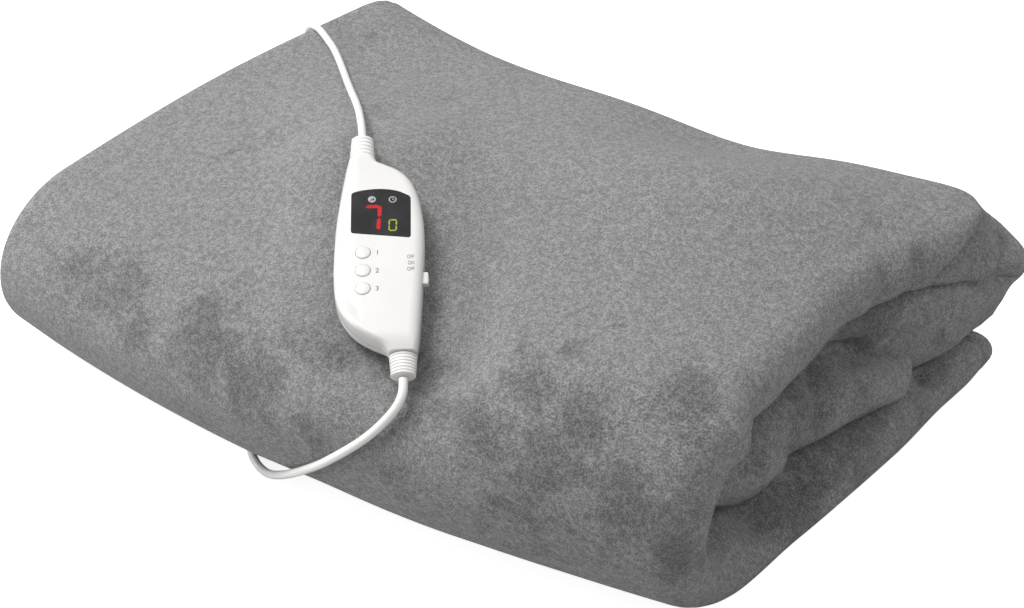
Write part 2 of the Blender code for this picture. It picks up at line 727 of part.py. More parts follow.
def plug_tail_route():
    """The last of the mains lead, from the coil to the plug."""
    return [
        Vector((-0.1171, 0.1350, 0.0040)),
        Vector((-0.1077, 0.1402, 0.0050)),
        Vector((-0.0990, 0.1456, 0.0063)),
        Vector((-0.0918, 0.1488, 0.0072)),
        Vector((PLUG_PLACE[0] - 0.0229, PLUG_PLACE[1], PLUG_AXIS_HEIGHT)),
    ]


def make_coil(material):
    """The outer shape of the coiled length, as one turned ring."""
    bm = bmesh.new()
    mean = COIL_MEAN_DIAMETER / 2
    ring = bmesh.ops.create_circle(bm, cap_ends=False, segments=12, radius=0.5)["verts"]
    bmesh.ops.scale(bm, vec=(COIL_WIDTH, COIL_HEIGHT, 1), verts=ring)
    bmesh.ops.rotate(bm, cent=(0, 0, 0), matrix=Matrix.Rotation(math.pi / 2, 3, "X"), verts=ring)
    bmesh.ops.translate(bm, verts=ring, vec=(mean, 0, 0))
    bmesh.ops.spin(bm, geom=bm.verts[:] + bm.edges[:], cent=(0, 0, 0), axis=(0, 0, 1),
                   angle=math.tau, steps=40, use_merge=True, use_duplicate=False)
    bmesh.ops.remove_doubles(bm, verts=bm.verts, dist=1e-6)
    place = (*COIL_CENTRE, COIL_BOTTOM + COIL_HEIGHT / 2)
    return link_object("lead_coil", finish_mesh(bm, "lead_coil"), material, None, place)


def make_tie(material):
    """A band round the coil's turns on its right side."""
    bm = bmesh.new()
    mean = COIL_MEAN_DIAMETER / 2
    band = 0.0008
    width = 0.0070
    rings = []
    for grow, side in ((FIT_GAP, -1), (FIT_GAP + band, -1), (FIT_GAP + band, 1), (FIT_GAP, 1)):
        ring = []
        for i in range(16):
            angle = math.tau * i / 16
            across = (COIL_WIDTH / 2 + 0.0002 + grow) * math.cos(angle)
            up = (COIL_HEIGHT / 2 + 0.0002 + grow) * math.sin(angle)
            ring.append((mean + across, side * width / 2, up))
        rings.append(ring)
    made = add_rings(bm, rings)
    for i in range(16):
        j = (i + 1) % 16
        bm.faces.new((made[-1][i], made[-1][j], made[0][j], made[0][i]))
    bmesh.ops.rotate(bm, cent=(0, 0, 0), matrix=Matrix.Rotation(math.radians(40), 3, "Z"),
                     verts=bm.verts)
    place = (*COIL_CENTRE, COIL_BOTTOM + COIL_HEIGHT / 2)
    return link_object("coil_tie", finish_mesh(bm, "coil_tie"), material, None, place)


PLUG_BODY = (0.0330, 0.0340, 0.0137)
PIN_SPACING = 0.0186
PIN_DIAMETER = 0.0040
PIN_LENGTH = 0.0190


def make_plug(materials):
    """A flat two-pin plug lying on the surface, its pins pointing right."""
    bm = bmesh.new()
    rows = ((-0.0220, 0.0040, 0.0040), (-0.0190, 0.0046, 0.0046), (-0.0130, 0.0068, 0.0052),
            (-0.0080, 0.0120, 0.0060), (-0.0030, 0.0158, 0.0068), (0.0040, 0.0170, 0.00685),
            (0.0100, 0.0170, 0.00685), (0.0130, 0.0162, 0.0062))
    rings = []
    sides = 16
    for x, half_width, half_height in rows:
        ring = []
        for i in range(sides):
            angle = math.tau * (i + 0.5) / sides
            c = math.cos(angle)
            s = math.sin(angle)
            y = half_width * math.copysign(abs(c) ** 0.55, c)
            z = half_height * math.copysign(abs(s) ** 0.55, s)
            ring.append((x, y, z))
        rings.append(ring)
    made = add_rings(bm, rings)
    bm.faces.new(made[0])
    bm.faces.new(made[-1])
    place = (*PLUG_PLACE, PLUG_AXIS_HEIGHT)
    link_object("plug_body", finish_mesh(bm, "plug_body"), materials["plug"], None, place)
    for name, side in (("plug_pin_near", -1), ("plug_pin_far", 1)):
        bm = bmesh.new()
        radius = PIN_DIAMETER / 2
        profile = ((0.0, 0.0), (radius, 0.0), (radius, PIN_LENGTH - radius),
                   (radius * 0.75, PIN_LENGTH - radius * 0.35), (0.0, PIN_LENGTH))
        spin_profile(bm, profile, (0, 0, 1), 12)
        bmesh.ops.rotate(bm, cent=(0, 0, 0), matrix=Matrix.Rotation(math.pi / 2, 3, "Y"),
                         verts=bm.verts)
        pin_place = (PLUG_PLACE[0] + 0.0130 + FIT_GAP, PLUG_PLACE[1] + side * PIN_SPACING / 2,
                     PLUG_AXIS_HEIGHT)
        link_object(name, finish_mesh(bm, name), materials["pin"], None, pin_place)


def main():
    """Build the whole object."""
    for thing in list(bpy.data.objects):
        bpy.data.objects.remove(thing, do_unlink=True)
    materials = {
        "cloth": make_material("grey_plush", (0.30, 0.295, 0.295), 0.95),
        "shell": make_material("white_shell", (0.83, 0.82, 0.80), 0.35),
        "button": make_material("white_button", (0.86, 0.855, 0.84), 0.30),
        "glass": make_material("dark_window", (0.03, 0.03, 0.032), 0.12),
        "cord": make_material("white_cord", (0.82, 0.81, 0.79), 0.42),
        "plug": make_material("white_plug", (0.80, 0.79, 0.77), 0.40),
        "pin": make_material("bright_pin", (0.72, 0.72, 0.70), 0.25, 1.0),
        "tie": make_material("dark_tie", (0.05, 0.05, 0.05), 0.60),
    }
    make_blanket(materials["cloth"])
    frame = bpy.data.objects.new("control_frame", None)
    bpy.context.scene.collection.objects.link(frame)
    frame.location = CONTROL_PLACE
    frame.rotation_mode = "XYZ"
    frame.rotation_euler = (CONTROL_TILT, 0, CONTROL_YAW)
    make_control(frame, materials)
    add_relief("relief_mains", frame, MAINS_EXIT, 1, RELIEF_LENGTH_MAINS, 0.0066, 0.0058, 6,
               materials["cord"])
    add_relief("relief_blanket", frame, BLANKET_EXIT, -1, RELIEF_LENGTH_BLANKET, 0.0070, 0.0062, 7,
               materials["cord"])
    add_cord("lead_mains", mains_route(), materials["cord"])
    add_cord("lead_blanket", blanket_route(), materials["cord"])
    add_cord("lead_plug_tail", plug_tail_route(), materials["cord"], 1.4 * CORD_DIAMETER)
    make_coil(materials["cord"])
    make_tie(materials["tie"])
    make_plug(materials)


main()
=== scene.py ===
# %% [markdown]
# # A folded electric blanket
#
# This lesson builds the look of a heated blanket that lies folded with its hand control on top.
# The solid model is loaded first and stays as it is. Every piece made here rides on one of its
# bodies, so that the buttons and the slide switch still move.

# %% Load the solid model
import math
from collections import namedtuple

import bmesh
import bpy
import numpy as np
from mathutils import Matrix, Vector


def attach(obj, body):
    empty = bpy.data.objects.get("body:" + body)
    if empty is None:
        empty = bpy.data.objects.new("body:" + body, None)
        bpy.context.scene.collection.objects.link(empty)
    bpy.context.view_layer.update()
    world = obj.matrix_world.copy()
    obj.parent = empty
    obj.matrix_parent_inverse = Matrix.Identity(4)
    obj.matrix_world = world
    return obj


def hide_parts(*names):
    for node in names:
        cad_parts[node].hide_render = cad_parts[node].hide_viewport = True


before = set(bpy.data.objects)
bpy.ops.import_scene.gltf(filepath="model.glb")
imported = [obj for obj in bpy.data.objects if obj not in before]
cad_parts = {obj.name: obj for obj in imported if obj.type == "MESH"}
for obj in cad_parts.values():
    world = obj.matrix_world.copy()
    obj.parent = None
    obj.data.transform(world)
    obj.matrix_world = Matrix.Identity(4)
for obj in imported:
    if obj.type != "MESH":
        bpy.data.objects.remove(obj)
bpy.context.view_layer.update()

# %% [markdown]
# ## The camera
#
# A camera that looks down at about 43 degrees from the front right shows the top, the long front
# fold and the open end at once. A 70 mm lens from about a metre keeps the far corner from
# shrinking much. Three facts place it: where it looks, from which side, and how far away.

# %% Camera
LOOK_AT = Vector((0.0155, -0.0118, 0.0600))
AZIMUTH = math.radians(35.4)
ELEVATION = math.radians(42.7)
DISTANCE = 1.084


def from_side(azimuth, elevation):
    """A direction out from the object. Azimuth 0 is the front and 90 degrees the right."""
    level = math.cos(elevation)
    return Vector((math.sin(azimuth) * level, -math.cos(azimuth) * level, math.sin(elevation)))


def add_object(name, data):
    """A new object in the scene that holds a camera, a lamp, a curve or a mesh."""
    thing = bpy.data.objects.new(name, data)
    bpy.context.scene.collection.objects.link(thing)
    return thing


def aim(thing, place, target):
    """Put a camera or a lamp at a place and turn it to a target."""
    thing.location = place
    thing.rotation_euler = (target - place).to_track_quat("-Z", "Y").to_euler()


camera_data = bpy.data.cameras.new("studio_camera")
camera_data.lens = 70.0
camera_data.sensor_width = 36.0
camera_data.clip_start = 0.05
camera = add_object("studio_camera", camera_data)
aim(camera, LOOK_AT + DISTANCE * from_side(AZIMUTH, ELEVATION), LOOK_AT)
bpy.context.scene.camera = camera
print("the camera stands at", [round(value, 3) for value in camera.location])

# %% [markdown]
# ## Where the hand control lies
#
# The control is built lying flat in its own axes, x across and y towards its upper end, and one
# matrix lays it on the cloth. That keeps its numbers easy to read. Its two ends are where the
# leads leave it, each through a strain relief, so they are settled first.

# %% The control's own axes
MM = 0.001
# Smaller than any size here, for comparing places.
TINY = 1e-6
CONTROL_PLACE = (-0.0214, -0.0760, 0.1182)
CONTROL_YAW = math.radians(37.6)
CONTROL_TILT = math.radians(12.5)
TO_WORLD = (Matrix.Translation(CONTROL_PLACE) @ Matrix.Rotation(CONTROL_YAW, 4, "Z")
            @ Matrix.Rotation(CONTROL_TILT, 4, "X"))
AXIS_HEIGHT = 0.0100
RELIEF_ROOT = 0.0060
LEAD_GAP = 0.0009
Exit = namedtuple("Exit", "x y way length")
MAINS_EXIT = Exit(-0.0093, 0.0578, 1, 0.0205)
BLANKET_EXIT = Exit(0.0114, -0.0652, -1, 0.0180)


def relief_tip(exit_place):
    """World point just past the tip of the strain relief at one end of the control."""
    y = exit_place.y + exit_place.way * (exit_place.length - RELIEF_ROOT + LEAD_GAP)
    return TO_WORLD @ Vector((exit_place.x, y, AXIS_HEIGHT))


# %% [markdown]
# ## The two leads
#
# A lead is a fixed length of something flexible. Its route is a short list of points that a hand
# could place, and a smooth curve runs through them. A curve object with a round bevel draws the
# tube, and it is turned into a mesh, so that it looks the same wherever the model is used.

# %% A smooth line through a few points
MAINS_DIAMETER = 0.0042
BLANKET_DIAMETER = 0.0046
# Height of a lead's middle where the lead lies on the floor.
LYING = 0.0026
POINTS_BETWEEN = 12


def between(p0, p1, p2, p3, share):
    """A point some share of the way from p1 to p2, on a smooth curve that heeds p0 and p3 too."""
    return 0.5 * (2 * p1 + (p2 - p0) * share + (2 * p0 - 5 * p1 + 4 * p2 - p3) * share * share
                  + (3 * p1 - p0 - 3 * p2 + p3) * share ** 3)


def smooth_line(points, spacing):
    """Even points along a smooth curve through the given points."""
    padded = [2 * points[0] - points[1]] + list(points) + [2 * points[-1] - points[-2]]
    fine = []
    for four in zip(padded, padded[1:], padded[2:], padded[3:]):
        fine += [between(*four, share) for share in np.arange(0, 1, 1 / POINTS_BETWEEN)]
    fine = np.array([tuple(point) for point in fine + [points[-1]]])
    lengths = np.append(0, np.cumsum(np.linalg.norm(np.diff(fine, axis=0), axis=1)))
    even = np.linspace(0, lengths[-1], max(3, round(lengths[-1] / spacing)) + 1)
    return np.column_stack([np.interp(even, lengths, fine[:, axis]) for axis in range(3)])


def line_length(line):
    """Length of a line of points."""
    return float(np.linalg.norm(np.diff(line, axis=0), axis=1).sum())


# %% [markdown]
# Two short helpers serve many pieces from here on. The third draws a lead with them.

# %% From a line to a lead
def baked_mesh(thing):
    """The mesh that an object shows once its bevel, letters or modifiers are worked out."""
    bpy.context.view_layer.update()
    return bpy.data.meshes.new_from_object(
        thing.evaluated_get(bpy.context.evaluated_depsgraph_get()))


def declare(piece, body, replaced=()):
    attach(piece, body)
    if replaced:
        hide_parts(*replaced)


def add_lead(name, line, diameter, replaced):
    """A round tube along a line, with filled ends, that rides with the blanket."""
    curve = bpy.data.curves.new(name, "CURVE")
    curve.dimensions = "3D"
    curve.bevel_depth = diameter / 2
    curve.bevel_resolution = 4
    curve.use_fill_caps = True
    spline = curve.splines.new("POLY")
    spline.points.add(len(line) - 1)
    spline.points.foreach_set("co", np.column_stack([line, np.ones(len(line))]).ravel())
    spline.use_smooth = True
    drawn = add_object("drawn_curve", curve)
    mesh = baked_mesh(drawn)
    bpy.data.objects.remove(drawn, do_unlink=True)
    lead = add_object(name, mesh)
    declare(lead, "blanket_body", replaced)
    return lead


# %% [markdown]
# The blanket's own lead feeds the heating wire in the cloth. It leaves the control's lower end,
# drops over the front fold and slips in under it, where the cloth lifts a little to let it in. Its
# points are placed one by one, so that it follows the fold and never cuts into it.

# %% The blanket's own lead
BLANKET_ROUTE = [relief_tip(BLANKET_EXIT)] + [Vector(place) for place in (
    (0.0390, -0.1364, 0.1082), (0.0401, -0.1411, 0.1051), (0.0392, -0.1461, 0.1013),
    (0.0368, -0.1506, 0.0967), (0.0330, -0.1546, 0.0910), (0.0275, -0.1584, 0.0841),
    (0.0207, -0.1608, 0.0763), (0.0128, -0.1620, 0.0673), (0.0039, -0.1623, 0.0573),
    (-0.0060, -0.1615, 0.0469), (-0.0162, -0.1598, 0.0363), (-0.0259, -0.1567, 0.0261),
    (-0.0351, -0.1531, 0.0165), (-0.0436, -0.1500, 0.0088), (-0.0515, -0.1474, 0.0042),
    (-0.0590, -0.1445, LYING), (-0.0660, -0.1405, LYING), (-0.0718, -0.1351, 0.0028),
    (-0.0758, -0.1284, 0.0034))]
BLANKET_SPACING = 0.0022
blanket_line = smooth_line(BLANKET_ROUTE, BLANKET_SPACING)
blanket_lead = add_lead("blanket_lead", blanket_line, BLANKET_DIAMETER, ["lead_blanket"])
tuple(BLANKET_ROUTE[0])
print("the blanket's lead is", round(line_length(blanket_line), 3), "m long")

# %% [markdown]
# The mains lead crosses the top, drops over the left end and is wound into a neat round coil
# behind the blanket, as for storage. Its turns lie beside and on each other, three wide and three
# high. Near one side of the coil each turn steps over to the next place. The later turns step
# first, so that no two turns are ever in one place. The last turn leaves the coil for the plug.

# %% The mains lead and its coil
MAINS_ROUTE = [relief_tip(MAINS_EXIT)] + [Vector(place) for place in (
    (-0.0770, -0.0199, 0.1440), (-0.0836, -0.0128, 0.1425), (-0.0932, -0.0027, 0.1382),
    (-0.1060, 0.0098, 0.1315), (-0.1190, 0.0218, 0.1250), (-0.1320, 0.0337, 0.1194),
    (-0.1442, 0.0447, 0.1157), (-0.1545, 0.0534, 0.1138), (-0.1644, 0.0609, 0.1128),
    (-0.1738, 0.0665, 0.1124), (-0.1824, 0.0709, 0.1125), (-0.1898, 0.0741, 0.1112),
    (-0.1965, 0.0772, 0.1068), (-0.2016, 0.0804, 0.0990), (-0.2042, 0.0835, 0.0889),
    (-0.2046, 0.0866, 0.0775), (-0.2044, 0.0896, 0.0640), (-0.2036, 0.0926, 0.0490),
    (-0.2038, 0.0957, 0.0345), (-0.2048, 0.0994, 0.0210), (-0.2064, 0.1045, 0.0102),
    (-0.2068, 0.1122, 0.0040), (-0.2040, 0.1215, LYING), (-0.1978, 0.1302, LYING),
    (-0.1886, 0.1362, LYING), (-0.1780, 0.1392, LYING), (-0.1680, 0.1405, LYING),
    (-0.1600, 0.1409, 0.0028), (-0.1520, 0.1398, 0.0030))]
COIL_CENTRE = (-0.135, 0.1660)
COIL_MIDDLE = 0.0076
COIL_RADIUS = 0.0250
TURN_STEP = 0.0046
Place = namedtuple("Place", "column row")
# Each turn's place in the coil, in steps from its middle. The last is on the way to the plug.
TURNS = (Place(1, -1), Place(0, -1), Place(-1, -1), Place(-1, 0), Place(-1, 1), Place(0, 1),
         Place(0, 0), Place(1, 0), Place(1, 1), Place(2.2, 0.6))
COIL_START = math.radians(-108)
STEP_SHARE = 0.16
STEP_STAGGER = 0.05
POINTS_PER_TURN = 32
PLUG_PLACE = Vector((-0.062, 0.1500, 0.0074))
PLUG_ENTRY = PLUG_PLACE - Vector((0.0229, 0, 0))
PLUG_TAIL = [Vector(place) for place in (
    (-0.1480, 0.1335, 0.0098), (-0.1380, 0.1308, 0.0088), (-0.1270, 0.1305, 0.0075),
    (-0.1171, 0.1335, 0.0066), (-0.1077, 0.1395, 0.0065), (-0.0990, 0.1453, 0.0068),
    (-0.0918, 0.1488, 0.0072))] + [PLUG_ENTRY]
MAINS_SPACING = 0.0026


def ease(share):
    """0 to 1 with level ends, for numbers and arrays."""
    share = np.clip(share, 0.0, 1.0)
    return share * share * (3 - 2 * share)


def coil_points():
    """The lead's line through every turn of the coil, up to just before its tail."""
    points = []
    for index, (turn, after) in enumerate(zip(TURNS, TURNS[1:])):
        step_start = 1 - STEP_SHARE - STEP_STAGGER * index
        for step in range(POINTS_PER_TURN):
            share = step / POINTS_PER_TURN
            over = float(ease((share - step_start) / STEP_SHARE))
            radius = COIL_RADIUS + TURN_STEP * (turn.column + (after.column - turn.column) * over)
            height = COIL_MIDDLE + TURN_STEP * (turn.row + (after.row - turn.row) * over)
            angle = COIL_START + math.tau * share
            points.append(Vector((COIL_CENTRE[0] + radius * math.cos(angle),
                                  COIL_CENTRE[1] + radius * math.sin(angle), height)))
    return points[:-2]


mains_line = smooth_line(MAINS_ROUTE + coil_points() + PLUG_TAIL, MAINS_SPACING)
mains_lead = add_lead("mains_lead", mains_line, MAINS_DIAMETER,
                      ["lead_mains", "lead_coil", "lead_plug_tail"])
print("the mains lead is", round(line_length(mains_line), 3), "m long")

# %% [markdown]
# ## How the cloth is folded
#
# The throw is one cut of plush, 1.80 by 1.30 m. It is folded in half twice along its length,
# which makes a pack of four plies, and the pack is folded in half twice across. So every point of
# the cloth has two numbers: how far it is along the pack's run, and how far across the plies.
# A table of straight stretches and folds turns the first number into a depth and a height. A
# cloth simulation could fold it too, but it is slow and never lies quite as the real one does.

# %% The run of the pack
LAYER = 0.032
SLIT = 0.003
FRONT_Y = -0.098
INNER_Y = -0.096
BACK_Y = 0.142
Flat = namedtuple("Flat", "name y_start y_end level rows crowding")
Fold = namedtuple("Fold", "name y_centre level radius start_deg turn_deg outward rows")
# Levels and radii are in layers. The run starts at the lowest layer's back edge. A crowding over
# 1 puts a stretch's lines closer together towards its end.
FOLDING = (
    Flat("lowest layer", 0.151, FRONT_Y, 0.5, 40, 1.0),
    Fold("front fold", FRONT_Y, 2.0, 1.5, -90, -180, 1, 40),
    Flat("top layer", FRONT_Y, BACK_Y, 3.5, 64, 1.25),
    Fold("back fold", BACK_Y, 3.0, 0.5, 90, -180, 1, 12),
    Flat("third layer", BACK_Y, INNER_Y, 2.5, 42, 0.85),
    Fold("inner fold", INNER_Y, 2.0, 0.5, 90, 180, -1, 8),
    Flat("second layer", INNER_Y, 0.146, 1.5, 46, 1.0),
)


def stretch_length(part):
    """Length of one stretch along the middle of the pack."""
    if isinstance(part, Flat):
        return abs(part.y_end - part.y_start)
    return math.radians(abs(part.turn_deg)) * part.radius * LAYER


LENGTHS = [stretch_length(part) for part in FOLDING]
STARTS = np.append(0, np.cumsum(LENGTHS))


def run_middle(distance):
    """Depth, height and outward normal of the pack's middle at distances along the run."""
    y, z, normal_y, normal_z = np.zeros((4, len(distance)))
    for part, start, length in zip(FOLDING, STARTS, LENGTHS):
        here = distance >= start
        share = (distance[here] - start) / length
        if isinstance(part, Flat):
            travel = math.copysign(1, part.y_end - part.y_start)
            y[here] = part.y_start + travel * share * length
            z[here] = part.level * LAYER - SLIT / 2
            normal_y[here] = 0
            normal_z[here] = travel
        else:
            angle = np.radians(part.start_deg + part.turn_deg * share)
            y[here] = part.y_centre + part.radius * LAYER * np.cos(angle)
            z[here] = part.level * LAYER - SLIT / 2 + part.radius * LAYER * np.sin(angle)
            normal_y[here] = part.outward * np.cos(angle)
            normal_z[here] = part.outward * np.sin(angle)
    return y, z, normal_y, normal_z


print("the pack's run is", round(float(STARTS[-1]), 3), "m long")

# %% [markdown]
# Nobody folds a throw exactly. Each layer stops short of the ends by its own amount, and the
# lips at the open end wander in and out. Two small tables say how. A place on the run is written
# as the number of the stretch and the share of it, so that 2.4 is 40 percent along the top layer.

# %% Where the layers end
HALF_LENGTH = 0.228
End = namedtuple("End", "right left")
ENDS = (End(-0.006, 0.004), End(-0.004, 0.000), End(-0.033, 0.000), End(-0.012, -0.002),
        End(-0.054, -0.004), End(-0.046, -0.006), End(-0.021, -0.002))
Wander = namedtuple("Wander", "place reach")
# How far the lips at the right end reach past that.
WANDERS = (
    Wander(0.00, -0.007), Wander(0.20, -0.005), Wander(0.45, -0.003), Wander(0.80, -0.002),
    Wander(1.00, 0.000), Wander(1.80, 0.000), Wander(1.90, 0.004), Wander(1.96, 0.000),
    Wander(2.02, -0.004), Wander(2.12, -0.001), Wander(2.30, 0.001), Wander(2.38, 0.000),
    Wander(2.44, 0.000), Wander(2.53, 0.003), Wander(2.70, 0.001), Wander(2.80, 0.002),
    Wander(2.90, 0.000), Wander(6.02, 0.003), Wander(6.08, 0.009), Wander(6.15, 0.011),
    Wander(6.21, 0.006), Wander(6.26, -0.003), Wander(6.31, -0.005), Wander(6.38, -0.004),
    Wander(6.46, -0.004), Wander(6.54, -0.001), Wander(6.63, 0.003), Wander(6.70, -0.002),
    Wander(6.80, -0.030), Wander(7.00, -0.045),
)


def run_distance(place):
    """Distance along the run of a place."""
    stretch = np.minimum(np.asarray(place, dtype=int), len(LENGTHS) - 1)
    return STARTS[stretch] + (place - stretch) * np.array(LENGTHS)[stretch]


def eased_table(values, at, heights):
    """Heights at values, eased between the entries of a table."""
    at, heights = np.asarray(at), np.asarray(heights)
    place = np.interp(values, at, np.arange(len(at)))
    before = np.minimum(place.astype(int), len(at) - 2)
    return heights[before] + ease(place - before) * (heights[before + 1] - heights[before])


def end_reach(distance):
    """How far the right and left ends reach at distances along the run."""
    middles = run_distance(np.arange(len(FOLDING)) + 0.5)
    right, left = (eased_table(distance, middles, side) for side in zip(*ENDS))
    places, reaches = (np.array(column) for column in zip(*WANDERS))
    return right + eased_table(distance, run_distance(places), reaches), left


# %% [markdown]
# ## How the pack settles
#
# A folded throw is not a brick. Its corners sink or creep, its middle swells, and the hand control
# presses a seat into it. All of that is one smooth change of space, so the plies keep their order
# and never cut through each other.

# %% Settling
HALF_DEPTH = 0.165
# Further from the middle than this many half sizes, a corner's height and shift grow no more.
EDGE_LIMIT = 1.1
PACK_MIDDLE = (-0.003, 0.006)
EVEN_HEIGHT = 4 * LAYER - SLIT
HALF_PACK = (LAYER - SLIT) / 2
Corner = namedtuple("Corner", "side_x side_y height shift_x shift_y")
CORNERS = (Corner(-1, -1, 0.099, -0.005, -0.002), Corner(1, -1, 0.122, -0.032, 0.036),
           Corner(-1, 1, 0.111, 0.049, -0.038), Corner(1, 1, 0.088, 0.016, -0.004))
Swell = namedtuple("Swell", "x y radius height")
SWELLS = (Swell(0.092, 0.070, 0.105, 0.053), Swell(0.190, -0.100, 0.070, 0.0175),
          Swell(0.059, 0.129, 0.048, -0.0205), Swell(-0.105, 0.008, 0.050, 0.0125))
BOW_FRONT, BOW_BACK, BOW_LEFT, BOW_RIGHT = 0.025, -0.028, 0.009, 0.008
SEAT_HALF_WIDTH, SEAT_HALF_LENGTH, SEAT_BLEND, SEAT_CLEARANCE = 0.020, 0.066, 0.052, 0.0012
HOLLOW_PLACE, HOLLOW_RADIUS, HOLLOW_HEIGHT = (-0.074, -0.133), 0.017, 0.0090


def seat(x, y):
    """Height of the control's seat at places, and how firmly it holds the cloth there."""
    dx = x - CONTROL_PLACE[0]
    dy = y - CONTROL_PLACE[1]
    across = dx * math.cos(CONTROL_YAW) + dy * math.sin(CONTROL_YAW)
    along = dy * math.cos(CONTROL_YAW) - dx * math.sin(CONTROL_YAW)
    away = np.hypot(np.maximum(0, abs(across) - SEAT_HALF_WIDTH),
                    np.maximum(0, abs(along) - SEAT_HALF_LENGTH))
    height = CONTROL_PLACE[2] + along * math.tan(CONTROL_TILT) - SEAT_CLEARANCE
    return height, 1 - ease(away / SEAT_BLEND)


def settle(x, y, z):
    """Where points of the even pack lie once the cloth has settled, and how squeezed they are."""
    u = np.clip(x / HALF_LENGTH, -EDGE_LIMIT, EDGE_LIMIT)
    v = np.clip(y / HALF_DEPTH, -EDGE_LIMIT, EDGE_LIMIT)
    height = np.zeros_like(x)
    new_x = x + PACK_MIDDLE[0]
    new_y = y + PACK_MIDDLE[1]
    for corner in CORNERS:
        weight = (1 + corner.side_x * u) * (1 + corner.side_y * v) / 4
        height += weight * corner.height
        new_x += weight * corner.shift_x
        new_y += weight * corner.shift_y
    for swell in SWELLS:
        away = (x - swell.x) ** 2 + (y - swell.y) ** 2
        height += swell.height * np.exp(-away / (2 * swell.radius ** 2))
    new_y += np.maximum(0, 1 - u * u) * v * np.where(v < 0, BOW_FRONT, BOW_BACK)
    new_x += np.maximum(0, 1 - v * v) * u * np.where(u < 0, BOW_LEFT, BOW_RIGHT)
    seat_height, hold = seat(new_x, new_y)
    # The seat works on the even pack's top, which falls away over the round of the front fold.
    drop = (1.5 * LAYER + HALF_PACK) ** 2 - np.minimum(y - FRONT_Y, 0) ** 2
    even_top = 2 * LAYER - SLIT / 2 + np.sqrt(np.maximum(drop, TINY))
    height += hold * (EVEN_HEIGHT * seat_height / even_top - height)
    squeeze = height / EVEN_HEIGHT
    away = np.hypot(new_x - HOLLOW_PLACE[0], new_y - HOLLOW_PLACE[1]) / HOLLOW_RADIUS
    lift = HOLLOW_HEIGHT * (1 - ease(away)) * np.maximum(0, 1 - z / LAYER)
    return np.column_stack([new_x, new_y, z * squeeze + lift]), squeeze


# %% [markdown]
# Near the open end the layers sag by their own amounts. A tug moves one layer there, and it can
# move the layer's upper ply and its lower ply by different amounts, which thickens or thins it.

# %% Tugs at single layers
Tug = namedtuple("Tug", "place width reach upper lower")
TUGS = (
    Tug(4.10, 0.055, 0.080, (0.008, -0.002, -0.004), (0.006, -0.002, -0.026)),
    Tug(4.30, 0.037, 0.080, (0.002, 0.000, -0.004), (0.004, 0.000, -0.025)),
    Tug(2.95, 0.050, 0.080, (0.000, 0.000, 0.000), (0.004, 0.000, -0.009)),
    Tug(6.66, 0.030, 0.075, (0.000, 0.000, -0.014), (0.000, 0.000, 0.000)),
    Tug(0.90, 0.060, 0.080, (-0.010, 0.000, -0.008), (0.000, 0.000, 0.000)),
)


def tug_layers(points, distance, from_end, rise):
    """Move points of single layers by every tug. Rise is 0 on a lower ply and 1 on an upper."""
    for tug in TUGS:
        weight = (np.exp(-((distance - run_distance(tug.place)) / tug.width) ** 2)
                  * ease(1 - from_end / tug.reach))[:, None]
        lower, upper = np.array(tug.lower), np.array(tug.upper)
        points = points + weight * (lower + (upper - lower) * rise[:, None])
    return points


print("tugs at layers:", len(TUGS))
